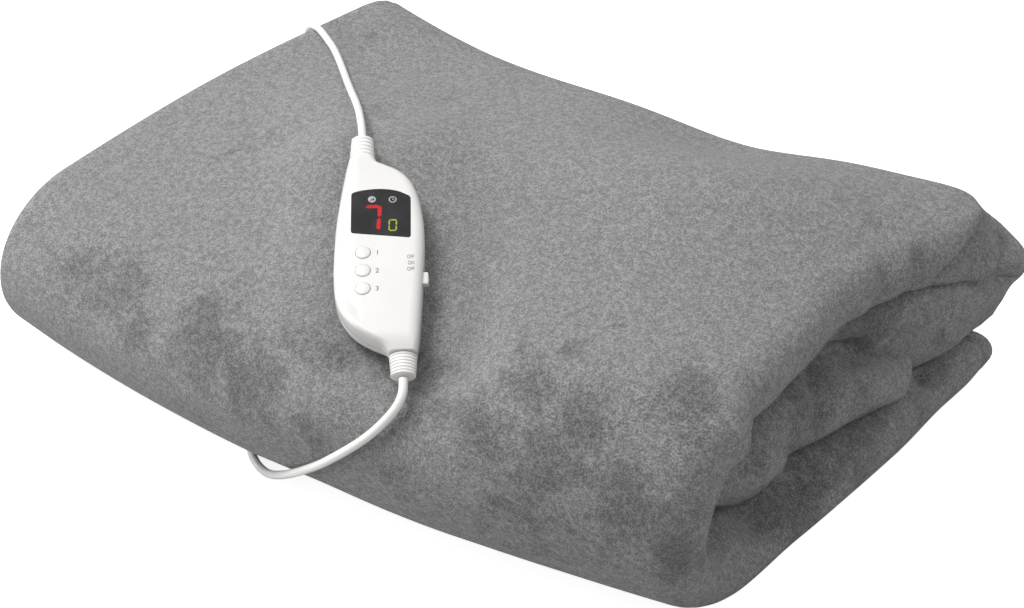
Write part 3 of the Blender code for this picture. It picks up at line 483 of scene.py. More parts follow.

# %% [markdown]
# The last of the shape is done push by push. Each push moves the cloth along one line by a few
# millimetres and dies away smoothly around it: a soft trough on the top, a tuck in a lip, a
# knuckle at a corner.

# %% Pushes
Push = namedtuple("Push", "start end radius move")
PUSHES = (
    Push((0.2135, 0.0960, 0.1035), (0.2225, 0.1390, 0.1125), 0.0060, (-0.013, 0.002, 0.000)),
    Push((0.2258, 0.1514, 0.1027), (0.2166, 0.1263, 0.0900), 0.0060, (0.006, -0.001, 0.003)),
    Push((0.2290, 0.1500, 0.0960), (0.2200, 0.1280, 0.0780), 0.0050, (-0.006, 0.000, 0.000)),
    Push((0.2300, 0.1500, 0.0820), (0.2300, 0.1500, 0.0820), 0.0140, (0.006, 0.003, 0.000)),
    Push((0.1915, 0.0550, 0.1270), (0.1985, 0.0480, 0.1160), 0.0060, (-0.006, 0.000, -0.001)),
    Push((0.2020, 0.0790, 0.1210), (0.2075, 0.0765, 0.1100), 0.0060, (-0.006, 0.000, -0.001)),
    Push((0.1970, 0.0670, 0.1260), (0.2050, 0.0620, 0.1150), 0.0060, (0.003, 0.000, 0.001)),
    Push((0.2285, 0.1426, 0.1039), (0.2188, 0.1125, 0.0967), 0.0045, (-0.004, 0.000, -0.003)),
    Push((0.2246, 0.1326, 0.0778), (0.2361, 0.1515, 0.0721), 0.0040, (-0.004, 0.000, 0.000)),
    Push((0.2050, 0.1350, 0.1220), (0.2050, 0.1350, 0.1220), 0.0300, (0.003, 0.003, 0.006)),
    Push((0.2350, 0.1500, 0.1020), (0.2350, 0.1500, 0.1020), 0.0140, (-0.012, -0.001, -0.006)),
    Push((0.2195, 0.1475, 0.1156), (0.2195, 0.1475, 0.1156), 0.0130, (-0.007, -0.003, -0.003)),
    Push((0.2275, 0.1285, 0.0485), (0.2330, 0.1480, 0.0560), 0.0130, (-0.001, 0.000, 0.012)),
    Push((0.2200, 0.1300, 0.0250), (0.2230, 0.1500, 0.0250), 0.0180, (0.006, 0.000, 0.004)),
    Push((0.1802, 0.0380, 0.0740), (0.1910, 0.0610, 0.0660), 0.0070, (-0.015, 0.000, 0.004)),
    Push((0.1946, 0.0500, 0.0560), (0.1990, 0.0640, 0.0530), 0.0090, (0.005, 0.000, 0.003)),
    Push((0.1768, 0.0323, 0.0692), (0.1940, 0.0110, 0.0600), 0.0070, (-0.006, 0.000, -0.007)),
    Push((0.1753, -0.0580, 0.0322), (0.2000, -0.0650, 0.0310), 0.0080, (0.003, 0.002, 0.009)),
    Push((0.1800, -0.0430, 0.0300), (0.2030, -0.0460, 0.0280), 0.0090, (-0.003, 0.000, -0.011)),
    Push((0.1800, -0.0360, 0.0340), (0.1980, -0.0140, 0.0320), 0.0130, (-0.006, 0.000, -0.010)),
    Push((0.1860, -0.0500, 0.0700), (0.1800, -0.0200, 0.0790), 0.0100, (-0.012, 0.000, -0.003)),
    Push((0.2138, 0.0980, 0.0300), (0.2138, 0.0980, 0.0300), 0.0070, (-0.005, 0.000, -0.010)),
)


def push_by_hand(points):
    """Move points by every push in the table, one after the other."""
    for push in PUSHES:
        start = np.array(push.start)
        along = np.array(push.end) - start
        share = np.clip((points - start) @ along / max(along @ along, TINY), 0, 1)
        away = np.linalg.norm(points - start - share[:, None] * along, axis=1) / push.radius
        points = points + np.exp(-away ** 2)[:, None] * np.array(push.move)
    return points


print("pushes by hand:", len(PUSHES))

# %% [markdown]
# ## The sheet of cloth
#
# Now the flat cloth is drawn as a grid, and every point of it goes to its folded place. The grid
# is crowded where the cloth shows and where it turns. Across the plies the cloth runs to and fro:
# two inner plies, the outer ply that shows on top and at the front, and the innermost face. The
# cut edges have a narrow hem, which is the same cloth turned over and stitched down.

# %% Across the plies
PLY_PITCH = 0.0079
PLY_THICKNESS = 0.0070
LEFT_REACH = 0.0052
END_ANCHOR = 1.5 * PLY_PITCH + PLY_THICKNESS / 2
Ply = namedtuple("Ply", "offset start end columns")
Loop = namedtuple("Loop", "side offset radius start_deg turn_deg columns")
# Offsets and radii are in plies from the pack's middle. Side 0 is the left end and 1 the right.
PLIES = (
    Ply(-0.5, 0, 1, 14),
    Loop(1, 0.0, 0.5, -90, 180, 6),
    Ply(0.5, 1, 0, 14),
    Loop(0, 1.0, 0.5, -90, -180, 7),
    Ply(1.5, 0, 1, 102),
    Loop(1, 0.0, 1.5, 90, -180, 14),
    Ply(-1.5, 1, 0, 26),
)
# A crowding over 1 puts the lines closer together towards the right end. One more line for the
# hem lies this share of a ply in from each side edge.
CROWDING = 1.3
SIDE_SHARE = 0.007
# The turned hem: distance from the cut edge and share of the cloth's thickness. The dip is the
# line of stitches.
HEM = ((0.0, 0.50), (0.0025, 1.10), (0.0110, 1.10), (0.0130, 0.62), (0.0150, 1.0))


def across_lines():
    """Side, step out and offset of every line across the plies."""
    rows = [(0.0, 0.0, PLIES[0].offset * PLY_PITCH)]
    for part in PLIES:
        for share in np.arange(1, part.columns + 1) / part.columns:
            if isinstance(part, Ply):
                side = 1 - share if part.start else share
                side = 1 - (1 - side) ** CROWDING
                rows.append((side, 0.0, part.offset * PLY_PITCH))
            else:
                angle = math.radians(part.start_deg + part.turn_deg * share)
                radius = part.radius * PLY_PITCH
                rows.append((part.side, radius * math.cos(angle),
                             part.offset * PLY_PITCH + radius * math.sin(angle)))
    rows.insert(1, (SIDE_SHARE, 0.0, PLIES[0].offset * PLY_PITCH))
    rows.insert(-1, (SIDE_SHARE, 0.0, PLIES[-1].offset * PLY_PITCH))
    return np.array(rows)


def along_lines():
    """Distance along the run of every line of the grid, with the hem's lines at both ends."""
    lines = []
    for part, start, length in zip(FOLDING, STARTS, LENGTHS):
        share = np.arange(part.rows) / part.rows
        if isinstance(part, Flat):
            share = 1 - (1 - share) ** part.crowding
        lines.append(start + length * share)
    hem_lines = np.array([place for place, share in HEM[1:]])
    return np.unique(np.concatenate([*lines, hem_lines, STARTS[-1] - hem_lines, STARTS[-1:]]))


print("lines of the cloth's grid:", len(across_lines()), "by", len(along_lines()))

# %% [markdown]
# The grid is folded point by point. The run gives a point's depth and height, the plies give its
# distance from the pack's middle, and settling, tugs and pushes follow in turn. The grid itself
# has no thickness. A Solidify modifier adds it, less where the pack is squeezed and at the cut
# edges. Two faces that were drawn one by one would soon cross in the tight folds.

# %% Drawing the flat cloth and folding it
THINNEST, THICKEST = 0.75, 1.15
LYING_GAP = 0.0006
# Any distance that is well past the hem.
PAST_HEM = 1.0


def mesh_from(bm, name):
    """Turn a bmesh into a mesh and let the bmesh go."""
    mesh = bpy.data.meshes.new(name)
    bm.to_mesh(mesh)
    bm.free()
    return mesh


def fold_cloth():
    """The folded sheet as a mesh without thickness, and how thick it is at each point."""
    across = across_lines()
    along = along_lines()
    last_column = len(across) - 1
    last_row = len(along) - 1
    bm = bmesh.new()
    bmesh.ops.create_grid(bm, x_segments=last_column, y_segments=last_row, size=0.5)
    flat = np.array([vert.co[:2] for vert in bm.verts]) + 0.5
    column = np.rint(flat[:, 0] * last_column).astype(int)
    row = np.rint(flat[:, 1] * last_row).astype(int)
    y, z, normal_y, normal_z = run_middle(along)
    right, left = end_reach(along)
    right_anchor = (HALF_LENGTH + right - END_ANCHOR)[row]
    left_anchor = (-HALF_LENGTH - left + END_ANCHOR - LEFT_REACH)[row]
    side, step_out, offset = across[column].T
    x = left_anchor + (right_anchor - left_anchor) * side + step_out
    points, squeeze = settle(x, y[row] + normal_y[row] * offset, z[row] + normal_z[row] * offset)
    rise = np.clip(0.5 + normal_z[row] * offset / (3 * PLY_PITCH), 0, 1)
    points = push_by_hand(tug_layers(points, along[row], (HALF_LENGTH + right)[row] - x, rise))
    thickness = PLY_THICKNESS * np.clip(squeeze, THINNEST, THICKEST)
    points[:, 2] = np.maximum(points[:, 2], thickness / 2 + LYING_GAP)
    for vert, place in zip(bm.verts, points):
        vert.co = place
    lines_in = np.minimum(column, last_column - column)
    from_edge = np.minimum.reduce([along[row], STARTS[-1] - along[row],
                                   np.where(lines_in > 1, PAST_HEM, lines_in * HEM[1][0])])
    rim = np.interp(from_edge, *zip(*HEM))
    return (mesh_from(bm, "plush"),
            np.minimum(1.0, rim * thickness / (THICKEST * PLY_THICKNESS)))


cloth_mesh, thickness_shares = fold_cloth()
cloth_mesh.shade_smooth()
cloth = add_object("plush", cloth_mesh)
thickness_group = cloth.vertex_groups.new(name="thickness")
for index, share in enumerate(thickness_shares):
    thickness_group.add([index], float(share), "REPLACE")
solidify = cloth.modifiers.new("thickness", "SOLIDIFY")
solidify.thickness = THICKEST * PLY_THICKNESS
solidify.offset = 0.0
solidify.vertex_group = thickness_group.name
declare(cloth, "blanket_body", ["blanket"])
print("the cloth's grid has", len(cloth_mesh.polygons), "faces")

# %% From a shape to a placed piece
MERGE_DISTANCE = 1e-7
SMOOTH_ANGLE = 32


def place_piece(bm, name, body, replaced=(), to_world=TO_WORLD, smooth_angle=SMOOTH_ANGLE):
    """Turn a bmesh, in its own axes, into a piece that stands in the world."""
    bmesh.ops.remove_doubles(bm, verts=bm.verts, dist=MERGE_DISTANCE)
    bmesh.ops.recalc_face_normals(bm, faces=bm.faces)
    bmesh.ops.transform(bm, matrix=to_world, verts=bm.verts)
    return place_mesh(mesh_from(bm, name), name, body, replaced, smooth_angle)


def place_mesh(mesh, name, body, replaced=(), smooth_angle=SMOOTH_ANGLE):
    mesh.shade_smooth()
    mesh.set_sharp_from_angle(angle=math.radians(smooth_angle))
    piece = add_object(name, mesh)
    declare(piece, body, replaced)
    return piece


# %% [markdown]
# ## The housing
#
# The housing is a clam shell: a base and a cover that meet in a seam a little under half way up.
# On the real control it is moulded, with a leaf-like outline that runs out into the two leads. A
# cube with many loop cuts could be pulled into that shape, but a table of stations is easier to
# correct. One ring of points is extruded from station to station, so every section is a rounded
# box of its own width and height. The raised field around the buttons is part of the rings.

# %% The housing's outline
Station = namedtuple("Station", "y left right bottom top corner shoulder")
# From the upper to the lower end (millimetres). The shoulder is the corner's radius at the upper
# left, which gets tight towards the lower end.
HOUSING = (
    Station(57.8, -16.2, -2.7, 3.6, 16.4, 5.6, 5.6),
    Station(53.5, -17.0, -0.9, 3.2, 17.0, 6.2, 6.2),
    Station(49.4, -17.7, 5.2, 1.8, 18.0, 7.0, 7.0),
    Station(44.8, -18.3, 11.8, 0.6, 19.0, 7.6, 7.6),
    Station(37.6, -19.3, 17.0, 0.0, 19.8, 8.0, 8.0),
    Station(26.2, -20.8, 20.6, 0.0, 20.0, 8.0, 8.0),
    Station(11.0, -22.4, 22.6, 0.0, 20.0, 8.0, 8.0),
    Station(-5.0, -23.1, 22.8, 0.0, 20.0, 8.0, 7.5),
    Station(-20.0, -23.1, 22.0, 0.0, 20.0, 8.0, 6.5),
    Station(-34.0, -21.9, 21.2, 0.0, 20.0, 8.0, 4.8),
    Station(-44.0, -18.6, 20.6, 0.0, 20.0, 8.0, 3.4),
    Station(-52.0, -12.8, 20.0, 0.6, 19.9, 7.6, 2.8),
    Station(-57.6, -5.2, 19.6, 1.8, 19.6, 7.0, 2.8),
    Station(-61.6, 1.6, 19.0, 3.0, 18.6, 6.2, 3.0),
    Station(-65.2, 4.4, 18.4, 3.6, 17.0, 5.8, 3.6),
)
HOUSING_STEPS = 6
CORNER_STEPS = 8
TOP_STEPS = 30
TOP_RIGHT_SHARE = 0.62
# The raised field's height above the rest of the top and the width of its slope. The step fades
# out towards both ends and down the side wall: where it is gone, and over what length (all in
# millimetres).
FIELD_DROP = 1.2
FIELD_SLOPE = 1.8
FADE_UPPER_END, FADE_UPPER_LENGTH = 3.0, 7.0
FADE_LOWER_END, FADE_LOWER_LENGTH = -50.0, 14.0
FADE_WALL_END, FADE_WALL_LENGTH = 13.0, 6.0
# The edge of the raised field, left of the buttons and on towards the lower lead (millimetres).
FIELD_EDGE = ((4.0, -14.0), (-10.0, -14.2), (-28.0, -14.0), (-34.0, -13.2), (-38.5, -11.6),
              (-42.0, -9.5), (-65.2, -9.5))


def housing_rows():
    """The table's stations with smooth ones between them."""
    table = np.array([HOUSING[0], *HOUSING, HOUSING[-1]])
    made = []
    for four in zip(table, table[1:], table[2:], table[3:]):
        made += [between(*four, step / HOUSING_STEPS) for step in range(HOUSING_STEPS)]
    return [Station(*row) for row in made] + [HOUSING[-1]]


def field_drop(x, y, z):
    """How far the surface lies below the raised field at a place."""
    edge_y, edge_x = zip(*reversed(FIELD_EDGE))
    outside = ease((np.interp(y, edge_y, edge_x) - x) / FIELD_SLOPE + 0.5)
    fading = (ease((FADE_UPPER_END - y) / FADE_UPPER_LENGTH)
              * ease((y - FADE_LOWER_END) / FADE_LOWER_LENGTH)
              * ease((z - FADE_WALL_END) / FADE_WALL_LENGTH))
    return FIELD_DROP * float(outside * fading)


def housing_ring(row):
    """Points round the housing at one station: a rounded box with a finely divided top."""
    ring = []
    corners = ((row.right, row.top, 0, TOP_RIGHT_SHARE * row.corner),
               (row.left, row.top, 90, row.shoulder),
               (row.left, row.bottom, 180, row.corner), (row.right, row.bottom, 270, row.corner))
    for x, z, start, radius in corners:
        middle_x = x - math.copysign(radius, x - (row.left + row.right) / 2)
        middle_z = z - math.copysign(radius, z - (row.bottom + row.top) / 2)
        for angle in np.radians(np.linspace(start, start + 90, CORNER_STEPS + 1)):
            ring.append((middle_x + radius * math.cos(angle),
                         middle_z + radius * math.sin(angle)))
        if start == 0:
            left_x = row.left + row.shoulder
            ring += [(middle_x + (left_x - middle_x) * step / TOP_STEPS, row.top)
                     for step in range(1, TOP_STEPS)]
    return [Vector((x, row.y, z - field_drop(x, row.y, z))) * MM for x, z in ring]


print("sections of the housing:", len(housing_rows()))

# %% [markdown]
# The plug's body further on is made from rings too, so the extruding is a helper of its own. Each
# half of the housing is what a plane leaves of the whole body. A small gap between the halves and
# a narrow bevel along both rims make the seam, which shows as a fine dark line.

# %% The housing's two halves
SEAM_HEIGHT = 9.0 * MM
SEAM_GAP = 0.30 * MM
SEAM_BEVEL = 0.25 * MM
# Circles are made at this radius, and their points are then moved to where they belong.
START_RADIUS = 0.01


def only(kind, parts):
    """The parts of one kind, such as edges, among those that an operator gives back."""
    return [part for part in parts if isinstance(part, kind)]


def soften(bm, edges, radius, segments):
    """Round some edges of a bmesh."""
    bmesh.ops.bevel(bm, geom=edges, offset=radius, offset_type="OFFSET", segments=segments,
                    profile=0.5, affect="EDGES", material=-1)


def ring_body(rings):
    """A closed body: a capped circle moved onto the first ring and extruded to each next one."""
    bm = bmesh.new()
    bmesh.ops.create_circle(bm, cap_ends=True, segments=len(rings[0]), radius=START_RADIUS)
    verts = bm.verts[:]
    for vert, place in zip(verts, rings[0]):
        vert.co = place
    edges = [bm.edges.get(pair) for pair in zip(verts, verts[1:] + verts[:1])]
    for ring in rings[1:]:
        made = bmesh.ops.extrude_edge_only(bm, edges=edges)["geom"]
        edges = only(bmesh.types.BMEdge, made)
        for vert, place in zip(only(bmesh.types.BMVert, made), ring):
            vert.co = place
    bmesh.ops.contextual_create(bm, geom=edges)
    return bm


def housing_half(above):
    """The part of the housing above or below the seam, as a closed shape."""
    bm = ring_body([housing_ring(row) for row in housing_rows()])
    height = SEAM_HEIGHT + (SEAM_GAP / 2 if above else -SEAM_GAP / 2)
    found = bmesh.ops.bisect_plane(bm, geom=bm.verts[:] + bm.edges[:] + bm.faces[:],
                                   plane_co=(0, 0, height), plane_no=(0, 0, 1),
                                   clear_inner=above, clear_outer=not above)["geom_cut"]
    rim = only(bmesh.types.BMEdge, found)
    bmesh.ops.contextual_create(bm, geom=rim)
    soften(bm, rim, SEAM_BEVEL, 2)
    bmesh.ops.recalc_face_normals(bm, faces=bm.faces)
    return bm


# %% [markdown]
# Round wells for the buttons, a pocket for the window, a slot for the slide switch and two sockets
# for the strain reliefs are cut out of the shells. They could be drawn into the shells' own faces,
# but that takes many small edits. A Boolean does it cleanly when both shapes are closed, and the
# result is kept as a plain mesh.

# %% Cutting the shells
FIT_GAP = 0.30 * MM
HOUSING_TOP = 20.0 * MM
BUTTON_X = -8.1 * MM
BUTTON_YS = (-8.7 * MM, -19.8 * MM, -30.8 * MM)
BUTTON_RADIUS = 3.8 * MM
WELL_GAP = 0.18 * MM
WELL_DEPTH = 3.4 * MM
CUTTER_SIDES = 48
ROOT_RADIUS = 4.4 * MM
WINDOW_THICKNESS = 1.2 * MM
# The window's lower corners and the points of its arch, round from the left (millimetres).
WINDOW_FOOT = ((-14.1, 3.8), (15.8, 0.2))
WINDOW_ARCH = ((16.0, 26.2), (9.0, 30.0), (0.5, 31.4), (-8.0, 30.8), (-14.1, 29.2))
ARCH_SPACING = 2.0
WINDOW_CORNER = 1.4
SWITCH_WALL_X = 21.2
SWITCH_SINK = 1.6
SWITCH_PLACE = Vector((SWITCH_WALL_X - SWITCH_SINK, -22.2, 14.2)) * MM
SLOT_SIZE = Vector((6.0, 13.0, 4.4)) * MM
SLOT_CORNER = 0.6 * MM
# How far a cutter reaches out of the shell, so that no skin is left.
PAST_END = 4.0 * MM
PAST_TOP = 2.0 * MM


def round_cutter(x, y, z, radius, depth, axis="Z"):
    """A round cutter about a point, along one axis."""
    bm = bmesh.new()
    matrix = Matrix.Translation((x, y, z))
    if axis == "Y":
        matrix = matrix @ Matrix.Rotation(math.pi / 2, 4, "X")
    bmesh.ops.create_cone(bm, cap_ends=True, segments=CUTTER_SIDES, radius1=radius,
                          radius2=radius, depth=depth, matrix=matrix)
    return bm


def rounded_box(size, centre, radius, segments):
    """A box about a point with every edge rounded."""
    bm = bmesh.new()
    bmesh.ops.create_cube(bm, size=1.0)
    bmesh.ops.scale(bm, vec=size, verts=bm.verts)
    bmesh.ops.translate(bm, vec=centre, verts=bm.verts)
    soften(bm, bm.edges[:], radius, segments)
    return bm


def window_plate(grow, bottom, top):
    """The window's outline, grown a little, as a plate with an arched top and soft corners."""
    arch = smooth_line([Vector((*place, 0)) for place in WINDOW_ARCH], ARCH_SPACING)
    outline = [Vector(place[:2]) * MM for place in (*WINDOW_FOOT, *arch)]
    corners = [outline[0], outline[1], outline[2], outline[-1]]
    centre = sum(corners, Vector((0, 0))) / len(corners)
    bm = bmesh.new()
    bmesh.ops.create_circle(bm, cap_ends=True, segments=len(outline), radius=START_RADIUS)
    rim = bm.verts[:]
    for vert, place in zip(rim, outline):
        spread = place - centre
        vert.co = (*(centre + spread * (1 + grow / spread.length)), bottom)
    corner_verts = [rim[0], rim[1], rim[2], rim[-1]]
    raised = bmesh.ops.extrude_face_region(bm, geom=bm.faces[:])["geom"]
    bmesh.ops.translate(bm, vec=(0, 0, top - bottom), verts=only(bmesh.types.BMVert, raised))
    uprights = [edge for edge in bm.edges
                if abs(edge.verts[0].co.z - edge.verts[1].co.z) > (top - bottom) / 2
                and any(vert in corner_verts for vert in edge.verts)]
    soften(bm, uprights, WINDOW_CORNER * MM, 5)
    bmesh.ops.recalc_face_normals(bm, faces=bm.faces)
    return bm


def cut_shapes():
    """Every cutter of the shells, each as a bmesh."""
    depth = RELIEF_ROOT + 2 * FIT_GAP
    length = depth + PAST_END
    for place in (MAINS_EXIT, BLANKET_EXIT):
        middle = place.y + place.way * (length / 2 - depth)
        yield round_cutter(place.x, middle, AXIS_HEIGHT, ROOT_RADIUS + FIT_GAP, length, "Y")
    for y in BUTTON_YS:
        yield round_cutter(BUTTON_X, y, HOUSING_TOP, BUTTON_RADIUS + WELL_GAP, 2 * WELL_DEPTH)
    yield window_plate(FIT_GAP, HOUSING_TOP - WINDOW_THICKNESS, HOUSING_TOP + PAST_TOP)
    yield rounded_box(SLOT_SIZE, SWITCH_PLACE + Vector((SLOT_SIZE.x / 2, 0, 0)), SLOT_CORNER, 2)


def cut_shell(bm, name, replaced):
    """Cut one shell with every cutter and place it."""
    shell = add_object(name + "_uncut", mesh_from(bm, name))
    cutters = [add_object("cutter", mesh_from(shape, "cutter")) for shape in cut_shapes()]
    for cutter in cutters:
        boolean = shell.modifiers.new("cut", "BOOLEAN")
        boolean.operation = "DIFFERENCE"
        boolean.solver = "EXACT"
        boolean.object = cutter
    result = baked_mesh(shell)
    for thing in [shell, *cutters]:
        bpy.data.objects.remove(thing, do_unlink=True)
    result.name = name
    result.transform(TO_WORLD)
    return place_mesh(result, name, "blanket_body", replaced)


cover = cut_shell(housing_half(True), "shell_cover", ["control_cover"])
base = cut_shell(housing_half(False), "shell_base", ["control_base"])
print("cover and base:", len(cover.data.polygons), len(base.data.polygons), "faces")

# %% [markdown]
# ## Buttons
#
# A real button is a low moulded dome with a soft rim, held in its well by a skirt. Half a section
# of it is enough, because a spin turns that into the whole round shape, which a bevelled cylinder
# would only come near. Each button rides on its own body, because it moves.

# %% Buttons
# A spin leaves many points in one place on its axis. They are merged within this distance.
AXIS_MERGE = 0.001 * MM
# Half a section of a button from its crown to its underside: radius and height (millimetres).
BUTTON_SECTION = ((0.0, 0.78), (0.9, 0.77), (1.8, 0.74), (2.6, 0.69), (3.1, 0.62), (3.45, 0.50),
                  (3.68, 0.30), (3.78, 0.05), (3.80, -0.3), (3.80, -2.2), (0.0, -2.2))
BUTTON_SIDES = 48


def turned(section, segments, matrix=Matrix()):
    """A solid turned about z from a half section in millimetres."""
    bm = bmesh.new()
    verts = [bm.verts.new((radius * MM, 0, height * MM)) for radius, height in section]
    edges = [bm.edges.new(pair) for pair in zip(verts, verts[1:])]
    bmesh.ops.spin(bm, geom=verts + edges, cent=(0, 0, 0), axis=(0, 0, 1), angle=math.tau,
                   steps=segments, use_merge=True, use_duplicate=False)
    bmesh.ops.remove_doubles(bm, verts=bm.verts, dist=AXIS_MERGE)
    bmesh.ops.transform(bm, matrix=matrix, verts=bm.verts)
    return bm


for name, y in zip(("upper", "middle", "lower"), BUTTON_YS):
    to_well = Matrix.Translation((BUTTON_X, y, HOUSING_TOP))
    shape = turned(BUTTON_SECTION, BUTTON_SIDES, to_well)
    place_piece(shape, "push_button_" + name, "button_" + name + "_body",
                ["button_" + name])
print("buttons:", len(BUTTON_YS))

# %% [markdown]
# ## The slide switch
#
# The slide switch is a small nub that a thumb pushes along the right wall, with three ribs for
# grip. A cube with every edge bevelled is near enough to the moulding. The ribs are smaller cubes
# of the same kind, sunk a hair into its face. The nub rides on its own body too.

# %% Slide switch
NUB_SIZE = Vector((4.6, 7.4, 3.6)) * MM
NUB_CORNER = 0.8 * MM
RIB_SIZE = Vector((0.5, 0.7, 2.6)) * MM
RIB_CORNER = 0.2 * MM
RIB_SPACING = 1.6 * MM
RIB_SINK = 0.02 * MM
nub_centre = SWITCH_PLACE + Vector((NUB_SIZE.x / 2 + FIT_GAP, 0, 0))
switch_shape = rounded_box(NUB_SIZE, nub_centre, NUB_CORNER, 4)
for side in (-1, 0, 1):
    rib_centre = nub_centre + Vector((NUB_SIZE.x / 2 - RIB_SINK, side * RIB_SPACING, 0))
    switch_shape.from_mesh(mesh_from(rounded_box(RIB_SIZE, rib_centre, RIB_CORNER, 2), "rib"))
place_piece(switch_shape, "slide_nub", "slide_switch_body", ["slide_switch"])
print("the switch's nub is", round(NUB_SIZE.y / MM, 1), "mm long")

# %% [markdown]
# ## The window
#
# A dark window is let into the cover. It is the same plate that cut its pocket, a little smaller
# all round, so that the two always fit. A fine bevel along its upper rim gives the bright line
# that the edge of a real window shows.

# %% The window
WINDOW_TOP = HOUSING_TOP + 0.1 * MM
WINDOW_BEVEL = 0.12 * MM
WINDOW_SMOOTH_ANGLE = 15
window_shape = window_plate(0.0, HOUSING_TOP - WINDOW_THICKNESS + FIT_GAP, WINDOW_TOP)
upper_rim = [edge for edge in window_shape.edges
             if min(vert.co.z for vert in edge.verts) > WINDOW_TOP - TINY]
soften(window_shape, upper_rim, WINDOW_BEVEL, 2)
window = place_piece(window_shape, "window", "blanket_body", ["display_window"],
                     smooth_angle=WINDOW_SMOOTH_ANGLE)
print("the window has", len(window.data.polygons), "faces")

# %% [markdown]
# ## Lit digits and pictograms
#
# Behind the real window a big digit shows the heat and a small one the hours. They are the bars
# of a seven-bar display. Above them stand two round pictograms: rising steps for the heat and a
# clock for the time. A picture could show them, but thin flat pieces stay sharp however close the
# camera comes. Here they lie a hair above the window, which is not see-through. One helper makes
# a sign from bars and discs at one height.

# %% Flat signs
def flat_bar(bm, start, end, width, height):
    """A flat six-sided bar between two places (millimetres), at a height."""
    a = Vector(start) * MM
    b = Vector(end) * MM
    along = (b - a).normalized()
    side = Vector((-along.y, along.x)) * width * MM / 2
    made = bmesh.ops.create_circle(bm, cap_ends=True, segments=6, radius=START_RADIUS)["verts"]
    tip = along * width * MM / 2
    places = (a, a + tip + side, b - tip + side, b, b - tip - side, a + tip - side)
    for vert, place in zip(made, places):
        vert.co = (*place, height)


def add_sign(name, height, bars=(), width=0.0, discs=()):
    """One flat piece of bars and discs (millimetres), thickened a little downwards."""
    bm = bmesh.new()
    for start, end in bars:
        flat_bar(bm, start, end, width, height)
    for x, y, radius in discs:
        bmesh.ops.create_circle(bm, cap_ends=True, segments=32, radius=radius * MM,
                                matrix=Matrix.Translation((x * MM, y * MM, height)))
    bmesh.ops.recalc_face_normals(bm, faces=bm.faces)
    for face in bm.faces:
        if face.normal.z < 0:
            face.normal_flip()
    bmesh.ops.solidify(bm, geom=bm.faces[:], thickness=SIGN_DEPTH)
    place_piece(bm, name, "blanket_body")


SIGN_HEIGHT = WINDOW_TOP + 0.03 * MM
SIGN_DEPTH = 0.05 * MM
BIG_WIDTH, SMALL_WIDTH = 2.0, 0.75
# Bars of the big digit and the small one: start and end (millimetres).
BIG_BARS = (((-6.9, 20.2), (0.3, 20.2)), ((0.4, 20.6), (0.1, 13.4)), ((0.0, 12.8), (-0.4, 5.4)))
SMALL_BARS = (((5.3, 11.4), (8.7, 11.4)), ((8.8, 11.3), (8.7, 8.2)), ((8.7, 7.9), (8.6, 4.8)),
              ((8.5, 4.7), (5.2, 4.7)), ((5.1, 4.8), (5.1, 7.9)), ((5.1, 8.2), (5.2, 11.3)))
add_sign("heat_digit", SIGN_HEIGHT, BIG_BARS, BIG_WIDTH)
add_sign("hour_digit", SIGN_HEIGHT, SMALL_BARS, SMALL_WIDTH)
print("bars of the digits:", len(BIG_BARS), "and", len(SMALL_BARS))

# %% [markdown]
# Each pictogram is a pale disc with dark marks on it, and the clock has pale hands on its dark
# face. Every level lies a hair above the one before, so that no two faces share a plane.

# %% The two pictograms
SIGN_STEP = 0.04 * MM
HEAT_X, HEAT_Y = -3.7, 24.9
CLOCK_X, CLOCK_Y = 6.9, 24.5
DISC_RADIUS, CLOCK_RADIUS = 2.0, 1.45
# Three bars that stand on one line and rise from left to right (millimetres).
BAR_SPACING, BAR_FOOT, BAR_HEIGHT, BAR_RISE = 0.85, 1.0, 0.8, 0.55
BAR_WIDTH, HAND_WIDTH = 0.6, 0.4
bar_foot = HEAT_Y - BAR_FOOT
heat_bars = []
for step in range(3):
    x = HEAT_X - BAR_SPACING + BAR_SPACING * step
    heat_bars.append(((x, bar_foot), (x, bar_foot + BAR_HEIGHT + BAR_RISE * step)))
clock_hands = (((CLOCK_X, CLOCK_Y - 0.2), (CLOCK_X, CLOCK_Y + 1.1)),
               ((CLOCK_X - 0.2, CLOCK_Y), (CLOCK_X + 0.9, CLOCK_Y - 0.3)))
add_sign("sign_discs", SIGN_HEIGHT,
         discs=((HEAT_X, HEAT_Y, DISC_RADIUS), (CLOCK_X, CLOCK_Y, DISC_RADIUS)))
add_sign("sign_marks", SIGN_HEIGHT + SIGN_STEP, heat_bars, BAR_WIDTH,
         ((CLOCK_X, CLOCK_Y, CLOCK_RADIUS),))
add_sign("clock_hands", SIGN_HEIGHT + 2 * SIGN_STEP, clock_hands, HAND_WIDTH)
print("bars of the heat sign:", len(heat_bars))

# %% [markdown]
# ## Printed marks
#
# A real cover has small print beside its buttons and its switch. This one has plain numbers, and
# OFF and ON. An image of the print would blur close up, so the marks are letters of Blender's own
# plain font, made a mesh four hundredths of a millimetre thick, which passes for ink.

# %% Printed numbers and words
Label = namedtuple("Label", "name text x y size width")
# Place and size in millimetres. A width under 1 makes narrow letters.
LABELS = (
    Label("one", "1", -1.8, -10.2, 4.0, 1.0),
    Label("two", "2", -1.9, -21.3, 4.0, 1.0),
    Label("three", "3", -1.9, -32.3, 4.0, 1.0),
    Label("off_upper", "OFF", 14.0, -13.0, 3.3, 0.62),
    Label("on", "ON", 14.4, -16.8, 3.3, 0.62),
    Label("off_lower", "OFF", 14.0, -20.6, 3.3, 0.62),
)
HALF_INK = 0.02 * MM
INK_SPREAD = 0.03 * MM


